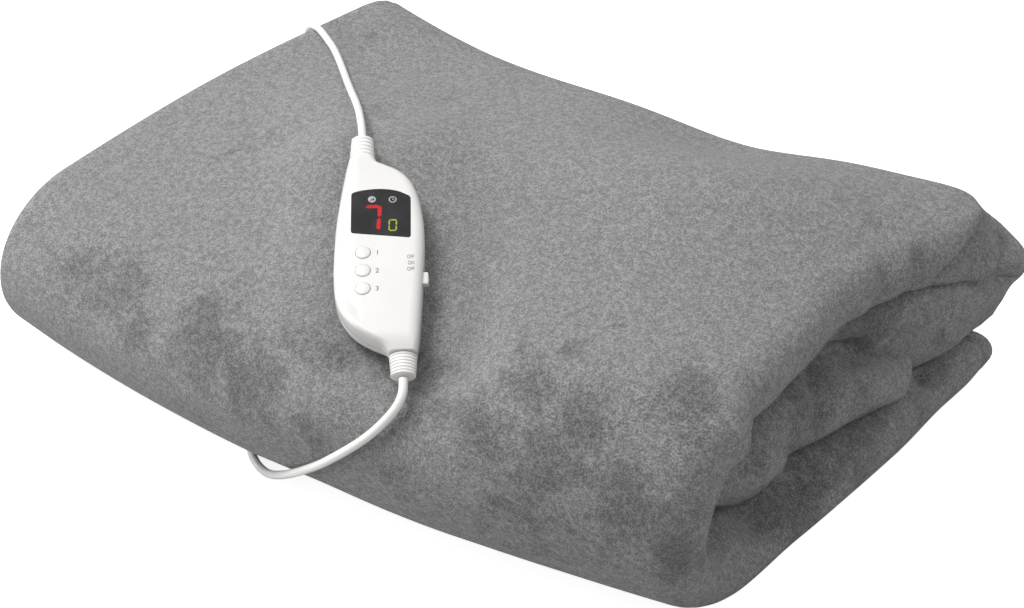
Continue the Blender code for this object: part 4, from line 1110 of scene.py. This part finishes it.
def print_label(label):
    """A few printed letters that lie on the cover's top."""
    text = bpy.data.curves.new("label_" + label.name, "FONT")
    text.body = label.text
    text.size = label.size * MM
    text.extrude = HALF_INK
    text.offset = INK_SPREAD
    thing = add_object(text.name, text)
    mesh = baked_mesh(thing)
    bpy.data.objects.remove(thing, do_unlink=True)
    place = Matrix.Translation((label.x * MM, label.y * MM, HOUSING_TOP + HALF_INK))
    mesh.transform(TO_WORLD @ place @ Matrix.Diagonal((label.width, 1, 1, 1)))
    place_mesh(mesh, "label_" + label.name, "blanket_body")


for label in LABELS:
    print_label(label)
print("printed marks:", len(LABELS))

# %% [markdown]
# ## Strain reliefs
#
# A lead would break where it leaves a stiff housing, so a soft ribbed sleeve spreads the bend. The
# sleeve is turned from half a section that a loop works out, rib by rib: a round crest, then a
# groove, each a little smaller than the one before. Its ribbed length is then pressed flatter.

# %% Strain reliefs
Relief = namedtuple("Relief", "name replaced place wide narrow ribs")
RELIEFS = (Relief("upper_relief", "relief_mains", MAINS_EXIT, 6.6, 5.8, 6),
           Relief("lower_relief", "relief_blanket", BLANKET_EXIT, 7.0, 6.2, 7))
GROOVE = 0.85
RELIEF_FLATNESS = 0.78
# The smooth part between the housing and the first rib, and how much of the last rib's pitch
# isn't there, because no groove follows it.
BARE_ROOT = 0.3
LAST_PITCH_LOSS = 0.35
# One rib: share of its pitch and share of the groove's depth. Its crest ends at half a pitch.
RIB = ((0.0, 0.35), (0.07, 0.08), (0.16, 0.0), (0.50, 0.0), (0.60, 0.10), (0.67, 0.45),
       (0.72, 1.0), (0.90, 1.0), (0.96, 0.8))
CREST_END = 0.5
# The rounded tip: how far in from the last rib's radius and how far back from the end.
TIP = ((0.10, 0.22), (0.40, 0.05), (0.90, 0.0))
RELIEF_SIDES = 56
RELIEF_SMOOTH_ANGLE = 40


def relief_section(relief):
    """Half section of a ribbed sleeve from its root to its tip (millimetres)."""
    root = RELIEF_ROOT / MM + BARE_ROOT
    length = relief.place.length / MM
    pitch = (length - root) / (relief.ribs - LAST_PITCH_LOSS)
    section = [(0.0, 0.0), (ROOT_RADIUS / MM, 0.0), (ROOT_RADIUS / MM, root)]
    for rib in range(relief.ribs):
        crest = relief.wide + (relief.narrow - relief.wide) * rib / (relief.ribs - 1)
        last = rib == relief.ribs - 1
        section += [(crest - GROOVE * depth, root + (rib + share) * pitch)
                    for share, depth in RIB if share <= CREST_END or not last]
    section += [(relief.narrow - inwards, length - back) for inwards, back in TIP]
    return section + [(0.0, length)]


for relief in RELIEFS:
    turn = Matrix.Rotation(-math.pi / 2 * relief.place.way, 4, "X")
    root = Matrix.Translation((relief.place.x, relief.place.y - relief.place.way * RELIEF_ROOT,
                               AXIS_HEIGHT))
    sleeve = turned(relief_section(relief), RELIEF_SIDES)
    for vert in sleeve.verts:
        if vert.co.z > RELIEF_ROOT + 2 * FIT_GAP or math.hypot(*vert.co.xy) > ROOT_RADIUS + TINY:
            vert.co.y *= RELIEF_FLATNESS
    bmesh.ops.transform(sleeve, matrix=root @ turn, verts=sleeve.verts)
    place_piece(sleeve, relief.name, "blanket_body", [relief.replaced],
                smooth_angle=RELIEF_SMOOTH_ANGLE)
print("ribs of the reliefs:", [relief.ribs for relief in RELIEFS])

# %% [markdown]
# ## The coil's tie
#
# A soft strap holds the coil together. It goes once round the bundle of turns, which is nearly
# square in section, so a circle is bent towards a square first. A thin ring with bevelled corners
# would look the same, but this needs no bevel. Extruding gives the strap's width and solidifying
# its thickness.

# %% The coil's tie
TIE_ANGLE = math.radians(40)
TIE_WIDTH = 7.0 * MM
TIE_THICKNESS = 0.7 * MM
TIE_RADIUS = 1.5 * TURN_STEP
TIE_POWER = 0.45
TIE_RISE = 0.3 * MM
TIE_SIDES = 40


def squared(value, power):
    """A cosine or a sine pulled towards 1 or -1, which squares the circle that it draws."""
    return math.copysign(abs(value) ** power, value)


tie_shape = bmesh.new()
outline = bmesh.ops.create_circle(tie_shape, cap_ends=False, segments=TIE_SIDES,
                                  radius=TIE_RADIUS)["verts"]
for vert in outline:
    for axis in (0, 1):
        vert.co[axis] = squared(vert.co[axis] / TIE_RADIUS, TIE_POWER) * TIE_RADIUS
band = bmesh.ops.extrude_edge_only(tie_shape, edges=tie_shape.edges[:])["geom"]
bmesh.ops.translate(tie_shape, vec=(0, 0, TIE_WIDTH), verts=only(bmesh.types.BMVert, band))
bmesh.ops.recalc_face_normals(tie_shape, faces=tie_shape.faces)
bmesh.ops.solidify(tie_shape, geom=tie_shape.faces[:], thickness=-TIE_THICKNESS)
bmesh.ops.translate(tie_shape, vec=(0, 0, -TIE_WIDTH / 2), verts=tie_shape.verts)
tie_place = (Matrix.Translation((*COIL_CENTRE, COIL_MIDDLE + TIE_RISE))
             @ Matrix.Rotation(TIE_ANGLE, 4, "Z") @ Matrix.Translation((COIL_RADIUS, 0, 0))
             @ Matrix.Rotation(math.pi / 2, 4, "X"))
tie = place_piece(tie_shape, "coil_strap", "blanket_body", ["coil_tie"], tie_place)
print("the tie has", len(tie.data.polygons), "faces")

# %% [markdown]
# ## The plug
#
# The plug is a flat two-pin one, moulded round the end of the lead. Its body is the ring helper's
# work again, from the lead's ribbed sleeve to the plug's flat face. Each section is an ellipse
# pulled towards a box, so the body is flat enough to grip and soft at its sides.

# %% The plug
# Sections of the plug's body from the lead to its face: x, half width, half height (millimetres).
PLUG_ROWS = ((-22.0, 3.4, 3.4), (-21.8, 3.8, 3.8), (-20.6, 4.0, 4.0), (-20.2, 3.5, 3.5),
             (-19.4, 3.5, 3.5), (-19.0, 4.4, 4.3), (-17.6, 4.8, 4.5), (-17.2, 4.2, 4.0),
             (-16.4, 4.3, 4.0), (-16.0, 5.4, 4.9), (-13.0, 6.8, 5.2), (-10.5, 9.2, 5.6),
             (-8.0, 12.0, 6.0), (-5.5, 14.2, 6.45), (-3.0, 15.8, 6.8), (0.0, 16.7, 6.85),
             (4.0, 17.0, 6.85), (10.0, 17.0, 6.85), (12.0, 16.8, 6.7), (12.8, 16.3, 6.3),
             (13.0, 15.6, 5.7))
PLUG_SIDES = 48
PLUG_POWER = 0.55


def plug_ring(x, half_width, half_height):
    """Points round one section of the plug's body."""
    angles = np.arange(PLUG_SIDES) * math.tau / PLUG_SIDES
    return [Vector((x, half_width * squared(math.cos(angle), PLUG_POWER),
                    half_height * squared(math.sin(angle), PLUG_POWER))) * MM for angle in angles]


plug_shape = ring_body([plug_ring(*row) for row in PLUG_ROWS])
to_plug = Matrix.Translation(PLUG_PLACE)
plug = place_piece(plug_shape, "mains_plug", "blanket_body", ["plug_body"], to_plug)
print("sections of the plug:", len(PLUG_ROWS))

# %% [markdown]
# The pins are turned metal with a sleeve at the root, so they are spun from half a section as the
# buttons are, and then laid on their side.

# %% The plug's pins
PIN_SPACING = 18.6 * MM
PIN_ROOT_X = 13.3 * MM
# Half a section of a pin: sleeve, shoulder, bare tip (millimetres).
PIN_SECTION = ((0.0, 0.0), (1.90, 0.0), (1.90, 9.6), (1.84, 9.9), (2.00, 10.1), (2.00, 17.6),
               (1.86, 18.3), (1.45, 18.8), (0.8, 19.0), (0.0, 19.0))
PIN_SIDES = 32
for name, side in (("near", -1), ("far", 1)):
    lie = (Matrix.Translation((PIN_ROOT_X, side * PIN_SPACING / 2, 0))
           @ Matrix.Rotation(math.pi / 2, 4, "Y"))
    shape = turned(PIN_SECTION, PIN_SIDES, lie)
    place_piece(shape, "plug_pin_" + name + "_bright", "blanket_body",
                            ["plug_pin_" + name], to_plug)
tuple(MAINS_ROUTE[0])

# %% [markdown]
# ## Finishes
#
# Each finish is a node tree. One helper adds a node, sets it and links its inputs, so a tree reads
# like a short recipe. Effects that several finishes use are node groups with named sockets.

# %% Helpers for node trees
def add_node(tree, kind, inputs=None, **settings):
    """Add a node, set its options, and fill or link its inputs."""
    made = tree.nodes.new(kind)
    for key, value in settings.items():
        setattr(made, key, value)
    for key, value in (inputs or {}).items():
        if isinstance(value, bpy.types.NodeSocket):
            tree.links.new(value, made.inputs[key])
        else:
            made.inputs[key].default_value = value
    return made


def sums(tree, operation, a, b=0.0):
    """Output of a Math node."""
    return add_node(tree, "ShaderNodeMath", {0: a, 1: b}, operation=operation).outputs[0]


def ramp(tree, value, low, high, to_low=0.0, to_high=1.0):
    """A value stretched smoothly from one range to another."""
    return add_node(tree, "ShaderNodeMapRange",
                    {"Value": value, "From Min": low, "From Max": high, "To Min": to_low,
                     "To Max": to_high}, interpolation_type="SMOOTHSTEP").outputs["Result"]


def spread(tree, value, to_low=0.0, to_high=1.0):
    """A noise, most of which lies between 0.3 and 0.7, stretched over a whole range."""
    return ramp(tree, value, 0.3, 0.7, to_low, to_high)


def object_place(tree):
    """Where a point is in its piece's own space, which at rest is also the world's."""
    return add_node(tree, "ShaderNodeTexCoord").outputs["Object"]


def mix_colours(tree, share, a, b):
    """Output of a colour mix."""
    return add_node(tree, "ShaderNodeMix", {0: share, 6: a, 7: b}, data_type="RGBA").outputs[2]


def noise(tree, place, scale, detail=2.0, roughness=0.5, distortion=0.0):
    """Output value of a noise texture."""
    return add_node(tree, "ShaderNodeTexNoise",
                    {"Vector": place, "Scale": scale, "Detail": detail, "Roughness": roughness,
                     "Distortion": distortion}).outputs["Fac"]


def new_group(name, inputs, outputs):
    """A shader node group with named sockets, and its input and output nodes."""
    group = bpy.data.node_groups.new(name, "ShaderNodeTree")
    for socket, kind, value in inputs:
        made = group.interface.new_socket(name=socket, in_out="INPUT", socket_type=kind)
        if value is not None:
            made.default_value = value
    for socket, kind in outputs:
        group.interface.new_socket(name=socket, in_out="OUTPUT", socket_type=kind)
    return group, group.nodes.new("NodeGroupInput"), group.nodes.new("NodeGroupOutput")


def new_finish(name, **values):
    """A material with a Principled BSDF whose named sockets hold the values."""
    material = bpy.data.materials.new(name)
    material.use_nodes = True
    shader = material.node_tree.nodes["Principled BSDF"]
    for key, value in values.items():
        shader.inputs[key.replace("_", " ")].default_value = value
    return material, material.node_tree, shader


def dress(piece, material):
    """Give a piece its finish in its first material slot."""
    if piece.data.materials:
        piece.data.materials[0] = material
    else:
        piece.data.materials.append(material)


# %% [markdown]
# ### Plush
#
# Short plush pile scatters light and shows three scales at once: tufts of about a millimetre,
# clumps of about three, and patches where a hand has brushed the pile the other way. Hairs could
# be grown on the cloth, but they would be far too many for a part that others use. Three noises
# in one group stand in for them. The two finer ones make the height for the bump and the change
# from gap to tuft, whose darker colour is painted shade between the tufts. The widest breaks up
# the borders of the brushed patches and of the painted shade at the open end.

# %% The pile
TUFT_SHARE, CLUMP_SHARE = 0.80, 0.35
TUFT_RANGE = (0.45, 0.74)
pile_group, pile_in, pile_out = new_group(
    "pile",
    (("Vector", "NodeSocketVector", None), ("Tuft Scale", "NodeSocketFloat", 1000.0),
     ("Clump Scale", "NodeSocketFloat", 330.0), ("Patch Scale", "NodeSocketFloat", 30.0)),
    (("Height", "NodeSocketFloat"), ("Tufts", "NodeSocketFloat"), ("Patches", "NodeSocketFloat")))
place = pile_in.outputs["Vector"]
tufts = noise(pile_group, place, pile_in.outputs["Tuft Scale"], 3.0, 0.66)
clumps = noise(pile_group, place, pile_in.outputs["Clump Scale"], 2.0, 0.55, 0.2)
patches = noise(pile_group, place, pile_in.outputs["Patch Scale"], 7.0, 0.72, 0.25)
height = sums(pile_group, "ADD", sums(pile_group, "MULTIPLY", tufts, TUFT_SHARE),
              sums(pile_group, "MULTIPLY", clumps, CLUMP_SHARE))
pile_group.links.new(height, pile_out.inputs["Height"])
pile_group.links.new(ramp(pile_group, height, *TUFT_RANGE), pile_out.inputs["Tufts"])
pile_group.links.new(patches, pile_out.inputs["Patches"])
print("nodes in the pile group:", len(pile_group.nodes))

# %% [markdown]
# Brushed pile looks darker where it leans away from the eye, mostly where the top rolls over to
# the front. At the open end the same darker colour is painted shade, in the recess under the lips
# where little light reaches. Both could be drawn in an image, but round soft masks at places in a
# table are easy to move one by one. Each is one use of a small group, and the strongest mask
# counts.

# %% Brushed patches and painted shade
Blotch = namedtuple("Blotch", "x y z radius weight")
# Places where the pile is brushed the other way, and at the open end places of painted shade.
BRUSHED_AND_SHADED_PATCHES = (
    Blotch(-0.173, -0.150, 0.085, 0.050, 0.50), Blotch(-0.128, -0.151, 0.088, 0.050, 0.60),
    Blotch(-0.079, -0.150, 0.091, 0.050, 0.95), Blotch(-0.036, -0.158, 0.082, 0.048, 1.00),
    Blotch(-0.007, -0.162, 0.079, 0.040, 0.70), Blotch(0.050, -0.135, 0.097, 0.046, 0.80),
    Blotch(0.095, -0.132, 0.108, 0.046, 0.80), Blotch(0.132, -0.112, 0.126, 0.040, 0.80),
    Blotch(0.168, -0.092, 0.134, 0.034, 0.80), Blotch(0.161, -0.125, 0.098, 0.046, 1.00),
    Blotch(0.184, -0.121, 0.075, 0.044, 0.90), Blotch(0.120, -0.150, 0.070, 0.060, 0.60),
    Blotch(0.060, -0.165, 0.055, 0.060, 0.45), Blotch(0.103, -0.091, 0.136, 0.020, 0.80),
    Blotch(0.100, -0.112, 0.126, 0.034, 0.85), Blotch(0.115, -0.132, 0.100, 0.044, 1.00),
    Blotch(0.042, -0.122, 0.108, 0.034, 1.00), Blotch(-0.010, -0.138, 0.100, 0.036, 0.80),
    # From here on: painted shade in the open end's recess and under its lips, not brushed pile.
    Blotch(0.190, 0.010, 0.030, 0.080, 1.00), Blotch(0.200, 0.090, 0.025, 0.070, 0.40),
    Blotch(0.190, -0.024, 0.022, 0.046, 1.40), Blotch(0.194, 0.004, 0.030, 0.030, 1.20),
    Blotch(0.186, -0.040, 0.068, 0.024, 1.20), Blotch(0.186, 0.060, 0.082, 0.036, 1.10),
    Blotch(0.184, 0.010, 0.074, 0.036, 0.90), Blotch(0.216, 0.100, 0.058, 0.014, 0.90),
)
blotch_group, blotch_in, blotch_out = new_group(
    "blotch", (("Vector", "NodeSocketVector", None), ("Centre", "NodeSocketVector", None),
               ("Radius", "NodeSocketFloat", 0.03), ("Weight", "NodeSocketFloat", 1.0)),
    (("Mask", "NodeSocketFloat"),))
away = add_node(blotch_group, "ShaderNodeVectorMath",
                {0: blotch_in.outputs["Vector"], 1: blotch_in.outputs["Centre"]},
                operation="DISTANCE").outputs["Value"]
blotch_group.links.new(ramp(blotch_group, away, 0.0, blotch_in.outputs["Radius"],
                            blotch_in.outputs["Weight"], 0.0), blotch_out.inputs["Mask"])
print("brushed patches:", len(BRUSHED_AND_SHADED_PATCHES))

# %% [markdown]
# The plush mixes between two pairs of colours: gap and tuft of raised pile, and the darker gap and
# tuft of pile brushed the other way, which at the open end is painted shade. The pile's height
# goes to a bump, which costs no faces.

# %% The plush itself
BRUSHED_AND_SHADE_SHIFT = 0.24
RUBBED_AND_SHADED_RANGE = (0.56, 0.76)
PILE_DEPTH = 0.0034
# Colours between the tufts and on them, for raised pile and for pile brushed the other way. The
# colour between the tufts is painted shade in the gaps of the pile.
RAISED_PILE = ((0.205, 0.203, 0.204, 1), (0.450, 0.445, 0.445, 1))
RUBBED_AND_SHADED_PILE = ((0.115, 0.115, 0.121, 1), (0.300, 0.299, 0.305, 1))
plush, tree, shader = new_finish("grey_plush_pile", Roughness=0.95, Sheen_Weight=0.25,
                                 Sheen_Roughness=0.45, Specular_IOR_Level=0.15)
place = object_place(tree)
pile = add_node(tree, "ShaderNodeGroup", {"Vector": place}, node_tree=pile_group)
brushed_and_shaded = 0.0
for blotch in BRUSHED_AND_SHADED_PATCHES:
    mark = add_node(tree, "ShaderNodeGroup", {"Vector": place, "Centre": blotch[:3],
                                              "Radius": blotch.radius, "Weight": blotch.weight},
                    node_tree=blotch_group)
    brushed_and_shaded = sums(tree, "MAXIMUM", brushed_and_shaded, mark.outputs["Mask"])
ragged = sums(tree, "ADD", pile.outputs["Patches"],
              sums(tree, "MULTIPLY", brushed_and_shaded, BRUSHED_AND_SHADE_SHIFT))
raised = mix_colours(tree, pile.outputs["Tufts"], *RAISED_PILE)
rubbed_and_shaded = mix_colours(tree, pile.outputs["Tufts"], *RUBBED_AND_SHADED_PILE)
tree.links.new(mix_colours(tree, ramp(tree, ragged, *RUBBED_AND_SHADED_RANGE), raised, rubbed_and_shaded),
               shader.inputs["Base Color"])
pile_bump = add_node(tree, "ShaderNodeBump", {"Height": pile.outputs["Height"], "Strength": 1.0,
                                              "Distance": PILE_DEPTH})
tree.links.new(pile_bump.outputs["Normal"], shader.inputs["Normal"])
dress(cloth, plush)
print("nodes in the plush:", len(tree.nodes))

# %% [markdown]
# ### Moulded plastic
#
# Moulded plastic is never quite even: it has a faint orange peel and small changes of gloss. One
# group gives both, and the shells, the buttons, the leads and the plug take it at their own scale.
# A plain colour would do from far away, but it looks like wax close up.

# %% Moulded plastic
WIDE_SCALE = 60.0
moulded_group, moulded_in, moulded_out = new_group(
    "moulded", (("Vector", "NodeSocketVector", None), ("Peel Scale", "NodeSocketFloat", 900.0),
                ("Gloss", "NodeSocketFloat", 0.3), ("Gloss Change", "NodeSocketFloat", 0.08)),
    (("Height", "NodeSocketFloat"), ("Roughness", "NodeSocketFloat"),
     ("Tint", "NodeSocketFloat")))
peel = noise(moulded_group, moulded_in.outputs["Vector"], moulded_in.outputs["Peel Scale"], 2.0)
wide = noise(moulded_group, moulded_in.outputs["Vector"], WIDE_SCALE, 3.0, 0.6)
change = sums(moulded_group, "MULTIPLY", sums(moulded_group, "SUBTRACT", wide, 0.5),
              moulded_in.outputs["Gloss Change"])
moulded_group.links.new(peel, moulded_out.inputs["Height"])
moulded_group.links.new(sums(moulded_group, "ADD", moulded_in.outputs["Gloss"], change),
                        moulded_out.inputs["Roughness"])
moulded_group.links.new(spread(moulded_group, wide), moulded_out.inputs["Tint"])


def moulded_finish(name, light, dark, gloss, peel_scale, peel_depth, **values):
    """A plastic finish: two close tints, a gloss and the size and depth of its orange peel."""
    material, tree, shader = new_finish(name, **values)
    group = add_node(tree, "ShaderNodeGroup", {"Vector": object_place(tree), "Gloss": gloss,
                                               "Peel Scale": peel_scale}, node_tree=moulded_group)
    tree.links.new(mix_colours(tree, group.outputs["Tint"], (*dark, 1), (*light, 1)),
                   shader.inputs["Base Color"])
    tree.links.new(group.outputs["Roughness"], shader.inputs["Roughness"])
    bump = add_node(tree, "ShaderNodeBump", {"Height": group.outputs["Height"], "Strength": 0.5,
                                             "Distance": peel_depth})
    tree.links.new(bump.outputs["Normal"], shader.inputs["Normal"])
    return material


shell_finish = moulded_finish("white_shell_plastic", (0.670, 0.660, 0.645), (0.650, 0.640, 0.622),
                              0.30, 1500.0, 0.00006, Coat_Weight=0.15, Coat_Roughness=0.2)
button_finish = moulded_finish("white_button_plastic", (0.690, 0.685, 0.67), (0.67, 0.665, 0.65),
                               0.26, 1500.0, 0.00005, Coat_Weight=0.2, Coat_Roughness=0.15)
cord_finish = moulded_finish("white_cord_plastic", (0.77, 0.76, 0.745), (0.73, 0.72, 0.70),
                             0.38, 1200.0, 0.00010)
plug_finish = moulded_finish("white_plug_plastic", (0.82, 0.81, 0.79), (0.78, 0.77, 0.75),
                             0.36, 1300.0, 0.00010)
window_finish = moulded_finish("dark_window_plastic", (0.020, 0.020, 0.022),
                               (0.012, 0.012, 0.013), 0.16, 400.0, 0.00001)
print_finish = moulded_finish("grey_print", (0.15, 0.15, 0.15), (0.12, 0.12, 0.12), 0.5, 2500.0,
                              0.00002)
strap_finish = moulded_finish("dark_strap", (0.050, 0.050, 0.052), (0.030, 0.030, 0.032), 0.65,
                              900.0, 0.00020)
print("nodes in the moulded group:", len(moulded_group.nodes))

# %% [markdown]
# ### Lit signs and bright pins
#
# A lit sign glows in its own colour and lights nothing much, so it emits a little and keeps a dull
# base. A lamp behind a mask is never quite even, and a soft noise dims it in places. The pins are
# plated metal that was turned on a lathe: a noise squeezed along the pin draws rings round it.

# %% Lit signs and bright pins
UNEVEN_SCALE = 700.0
DIMMEST = 0.72
LATHE_SCALE = 3000.0
PIN_GLOSS = (0.18, 0.32)


def lit_finish(name, colour, strength):
    """A lit sign: glowing colour that is a little uneven, as a lamp behind a mask is."""
    material, tree, shader = new_finish(name, Roughness=0.5, Specular_IOR_Level=0.2,
                                        Emission_Strength=strength)
    uneven = spread(tree, noise(tree, object_place(tree), UNEVEN_SCALE, 1.0))
    dim = tuple(DIMMEST * channel for channel in colour)
    glow = mix_colours(tree, uneven, (*dim, 1), (*colour, 1))
    tree.links.new(glow, shader.inputs["Emission Color"])
    tree.links.new(mix_colours(tree, 0.5, glow, (0, 0, 0, 1)), shader.inputs["Base Color"])
    return material


red_finish = lit_finish("red_light", (0.62, 0.010, 0.014), 0.55)
lime_finish = lit_finish("lime_light", (0.34, 0.48, 0.02), 0.60)
disc_finish = lit_finish("pale_sign", (0.62, 0.63, 0.65), 0.25)
pin_finish, tree, shader = new_finish("bright_pin_metal", Metallic=1.0)
turning_marks = add_node(tree, "ShaderNodeMapping",
                         {"Vector": object_place(tree), "Scale": (1.0, 0.08, 0.08)})
marks_value = noise(tree, turning_marks.outputs["Vector"], LATHE_SCALE, 2.0)
tree.links.new(spread(tree, marks_value, *PIN_GLOSS), shader.inputs["Roughness"])
tree.links.new(mix_colours(tree, marks_value, (0.66, 0.65, 0.62, 1), (0.80, 0.79, 0.76, 1)),
               shader.inputs["Base Color"])
print("nodes in the pins' finish:", len(tree.nodes))

# %% [markdown]
# ### Which piece gets which finish
#
# One table gives every piece its material, by the piece's name, so that nothing is left bare.

# %% Every piece gets its finish
FINISHED = (
    (window_finish, ("window", "sign_marks")),
    (red_finish, ("heat_digit",)),
    (lime_finish, ("hour_digit",)),
    (disc_finish, ("sign_discs", "clock_hands")),
    (shell_finish, ("shell_cover", "shell_base")),
    (button_finish, ("push_button_upper", "push_button_middle", "push_button_lower", "slide_nub")),
    (print_finish, ["label_" + label.name for label in LABELS]),
    (cord_finish, ("mains_lead", "blanket_lead", "upper_relief", "lower_relief")),
    (strap_finish, ("coil_strap",)),
    (plug_finish, ("mains_plug",)),
    (pin_finish, ("plug_pin_near_bright", "plug_pin_far_bright")),
)
for finish, names in FINISHED:
    for name in names:
        dress(bpy.data.objects[name], finish)
print("finished pieces:", 1 + sum(len(names) for finish, names in FINISHED))

# %% [markdown]
# ## The floor
#
# The floor is plain and pale. It sends less light back up than it shows to the camera, so that
# the foot of the front fold stays dark. A real floor can't do that, but a Light Path node can.

# %% The floor
FLOOR_SIZE = 6.0
FLOOR_GLOW = 0.85
floor_shape = bmesh.new()
bmesh.ops.create_grid(floor_shape, x_segments=1, y_segments=1, size=FLOOR_SIZE / 2)
floor = add_object("studio_floor", mesh_from(floor_shape, "studio_floor"))
floor_finish, tree, shader = new_finish("pale_floor", Roughness=0.9, Specular_IOR_Level=0.1)
seen = add_node(tree, "ShaderNodeLightPath").outputs["Is Camera Ray"]
grain = spread(tree, noise(tree, object_place(tree), 3.0, 2.0))
shown = mix_colours(tree, grain, (0.58, 0.58, 0.58, 1), (0.61, 0.61, 0.61, 1))
tree.links.new(shown, shader.inputs["Base Color"])
tree.links.new(sums(tree, "MULTIPLY", seen, FLOOR_GLOW), shader.inputs["Emission Strength"])
dress(floor, floor_finish)
print("the floor is", FLOOR_SIZE, "m wide")

# %% [markdown]
# ## Light
#
# One wide lamp, high on the left, lights the top and leaves the front darker. A low one at the
# front left lifts the long fold, a weak one on the right the open end, and an even surround
# softens every shadow.

# %% Lamps and surround
Lamp = namedtuple("Lamp", "name azimuth elevation distance size power")
LAMPS = (Lamp("key", -76, 62, 1.6, 0.8, 23.5), Lamp("left_fill", -52, 4, 1.7, 0.9, 18.0),
         Lamp("right_fill", 95, 55, 1.7, 0.9, 6.0))
SURROUND_LIGHT = 0.42
for lamp in LAMPS:
    data = bpy.data.lights.new(lamp.name, "AREA")
    data.shape = "SQUARE"
    data.size = lamp.size
    data.energy = lamp.power
    side = from_side(math.radians(lamp.azimuth), math.radians(lamp.elevation))
    aim(add_object(lamp.name, data), LOOK_AT + lamp.distance * side, LOOK_AT)
print("lamps:", [lamp.name for lamp in LAMPS])
world = bpy.data.worlds.new("studio")
world.use_nodes = True
surround = world.node_tree.nodes["Background"]
surround.inputs["Color"].default_value = (1.0, 1.0, 1.0, 1)
seen = add_node(world.node_tree, "ShaderNodeLightPath").outputs["Is Camera Ray"]
world.node_tree.links.new(ramp(world.node_tree, seen, 0.0, 1.0, SURROUND_LIGHT, 1.0),
                          surround.inputs["Strength"])
bpy.context.scene.world = world
bpy.context.scene.view_settings.view_transform = "Standard"
